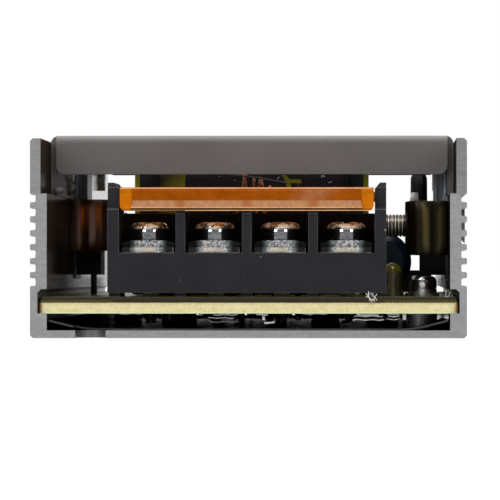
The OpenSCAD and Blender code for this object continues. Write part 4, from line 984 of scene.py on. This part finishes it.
def formed_clamps():
    """Bent clamps of sheet steel with rounded corners on the wall side and soft stamped ribs, their
    rounded edges paler as a painted highlight.
    """
    thick, corner, spacing, taper = 1.1, 1.7, 0.31, 0.8
    half = thick / 2
    for side, node, finish in ((1, "rectifier_clamp", "clamp_out"),
                               (-1, "switch_clamp", "clamp_in")):
        low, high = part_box(node)
        y0, y1, z0, z1 = (v / MM for v in (low[1], high[1], low[2], high[2]))
        wall = max(abs(low[0]), abs(high[0])) / MM
        reach = wall - min(abs(low[0]), abs(high[0])) / MM
        # The bend as seen from above: distance from the wall, then Y.
        path = smooth_path([
            (0.12, y0 + 1.5), (0.8, y0 + 1.1), (2.2, y0 + 0.9), (3.8, y0 + 0.9),
            (reach - 1.3, y0 + 1.3), (reach - half, y0 + 2.5), (reach - half, y0 + 8.6),
            (reach - 1.6, y0 + 10.6), (reach - 2.0, y0 + 12.0), (reach - 1.6, y1 - 2.4),
            (reach - half - 0.2, y1 - 0.2)])
        last = len(path) - 1
        bm = bmesh.new()
        bmesh.ops.create_grid(bm, x_segments=last, y_segments=14, size=0.5)
        for v in bm.verts:
            step, up = round((v.co.x + 0.5) * last), v.co.y
            out, y = path[step]
            cut_back = max(0.0, corner - step * spacing * taper)
            inset = corner - math.sqrt(max(0.0, corner ** 2 - cut_back ** 2))
            rib = 0.05 * math.cos(out * 3.1) if y < y0 + 2.4 else 0
            crown = 0.22 * (2 * abs(up)) ** 6
            height = (z0 + z1) / 2 + (z1 - z0 - 2 * inset) * up
            v.co = (side * (wall - out) * MM, (y + rib + crown) * MM, height * MM)
        ob = finished(node + "_formed", bm, finish)
        sheet = ob.modifiers.new("sheet", "SOLIDIFY")
        sheet.thickness, sheet.offset = thick * MM, 0
        # The rounded edges are paler: a painted highlight.
        soft_edges(ob, 0.25, 50, "clamp_rim_highlight")
        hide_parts(node)


# The blocks' rounded edges are paler: a painted highlight.
softened("output_terminal_block", 0.14, "block", "highlit_edges")
softened("input_terminal_block", 0.14, "block", "highlit_edges")
softened("cover_flanges", 0.12, "paint")
screw_threads()
solder_joints()
strip_trim()
formed_clamps()
foam_strip()
solder_runs()
terminal_fronts()
transformer_front()
stray_fibres()
lint()
clamp_tab()
flange_toe()


# ---------------------------------------------------------------- studio

def in_scene(name, data, place=(0, 0, 0), target=None):
    """Puts a mesh, lamp or camera in the scene, aimed at its target."""
    ob = bpy.data.objects.new(name, data)
    ob.location = place
    if target:
        ob.rotation_euler = (Vector(target) - Vector(place)).to_track_quat("-Z", "Y").to_euler()
    bpy.context.scene.collection.objects.link(ob)
    return ob


def backdrop():
    """A white room, darker on the camera's side for what polished parts mirror, and a soft fill."""
    world = bpy.context.scene.world or bpy.data.worlds.new("studio")
    bpy.context.scene.world = world
    world.use_nodes = True
    world.node_tree.nodes.clear()
    g = Graph(world.node_tree)

    def light(strength):
        return g.node("ShaderNodeBackground", {}, [(1, 1, 1), strength])

    where = g.node("ShaderNodeTexCoord", out="Generated")
    behind = g.node("ShaderNodeSeparateXYZ", {}, [where], out="Y")
    direct = g.node("ShaderNodeMath", {"operation": "ADD", "use_clamp": True},
                    [g.ray("Camera"), g.ray("Transmission")])
    room = light(g.range(behind, 0.05, 0.5, MIRRORED_ROOM, 1.0))
    unseen = g.shader_mix(g.ray("Glossy"), light(SOFT_FILL), room)
    seen = g.shader_mix(direct, unseen, light(1.0))
    g.plug(seen, g.tree.nodes.new("ShaderNodeOutputWorld").inputs[0])


def paper_floor():
    """White paper that shows white from everywhere and keeps the part's shadow."""
    half_side, sunk = 6.0, 0.0002
    bm = bmesh.new()
    bmesh.ops.create_grid(bm, x_segments=1, y_segments=1, size=half_side)
    mesh = bpy.data.meshes.new("floor")
    bm.to_mesh(mesh)
    bm.free()
    floor = in_scene("floor", mesh, (0, 0, -sunk))
    m = Mat("floor_white")
    m.set(Base_Color=(0.86, 0.86, 0.86), Roughness=0.9)
    shown = (m.ray("Camera") + m.ray("Glossy") + m.ray("Transmission")).above(0.5)
    # Polished parts mirror the paper in front of the part as dimly as the room there.
    near = m.range(m.coords()[1], -320.0, FRONT_MM - 6, 1.0 - MIRRORED_ROOM, 0.0)
    dimmed = 1 - m.ray("Glossy") * near
    m.cover(shown * dimmed * 0.85, m.node("ShaderNodeEmission", {}, [(1, 1, 1), 1.12]))
    mesh.materials.append(m.m)


def softboxes():
    """Five soft lamps round the part. Places and sizes in metres, power in watts."""
    for name, place, target, size, power in (
            ("softbox_left", (-0.42, -0.85, 0.34), (0, FRONT, 0.015), (0.26, 0.42), 2.2),
            ("softbox_right", (0.46, -0.85, 0.30), (0, FRONT, 0.015), (0.22, 0.36), 1.5),
            ("softbox_front", (0, -0.5, 0.85), (0, FRONT, 0.02), (0.7, 0.34), 4.6),
            ("softbox_top", (0, 0.15, 0.9), (0, 0.03, 0), (0.7, 0.7), 1.2),
            ("softbox_back", (0.35, 0.95, 0.5), (0, -FRONT, 0.015), (0.5, 0.4), 3.5)):
        lamp = bpy.data.lights.new(name, "AREA")
        lamp.shape = "RECTANGLE"
        lamp.size, lamp.size_y = size
        lamp.energy = power
        in_scene(name, lamp, place, target)


def camera():
    """A long lens 0.656 m from the output end, a little below its middle and right of it."""
    cam = bpy.data.cameras.new("camera")
    cam.sensor_width, cam.lens = 36, 330.6
    cam.clip_start, cam.clip_end = 0.05, 30
    bpy.context.scene.camera = in_scene("camera", cam, (0.0184, FRONT - 0.656, 0.0098),
                                        (0.00026, FRONT, 0.0126))


backdrop()
paper_floor()
softboxes()
camera()
bpy.context.scene.view_settings.view_transform = "Standard"
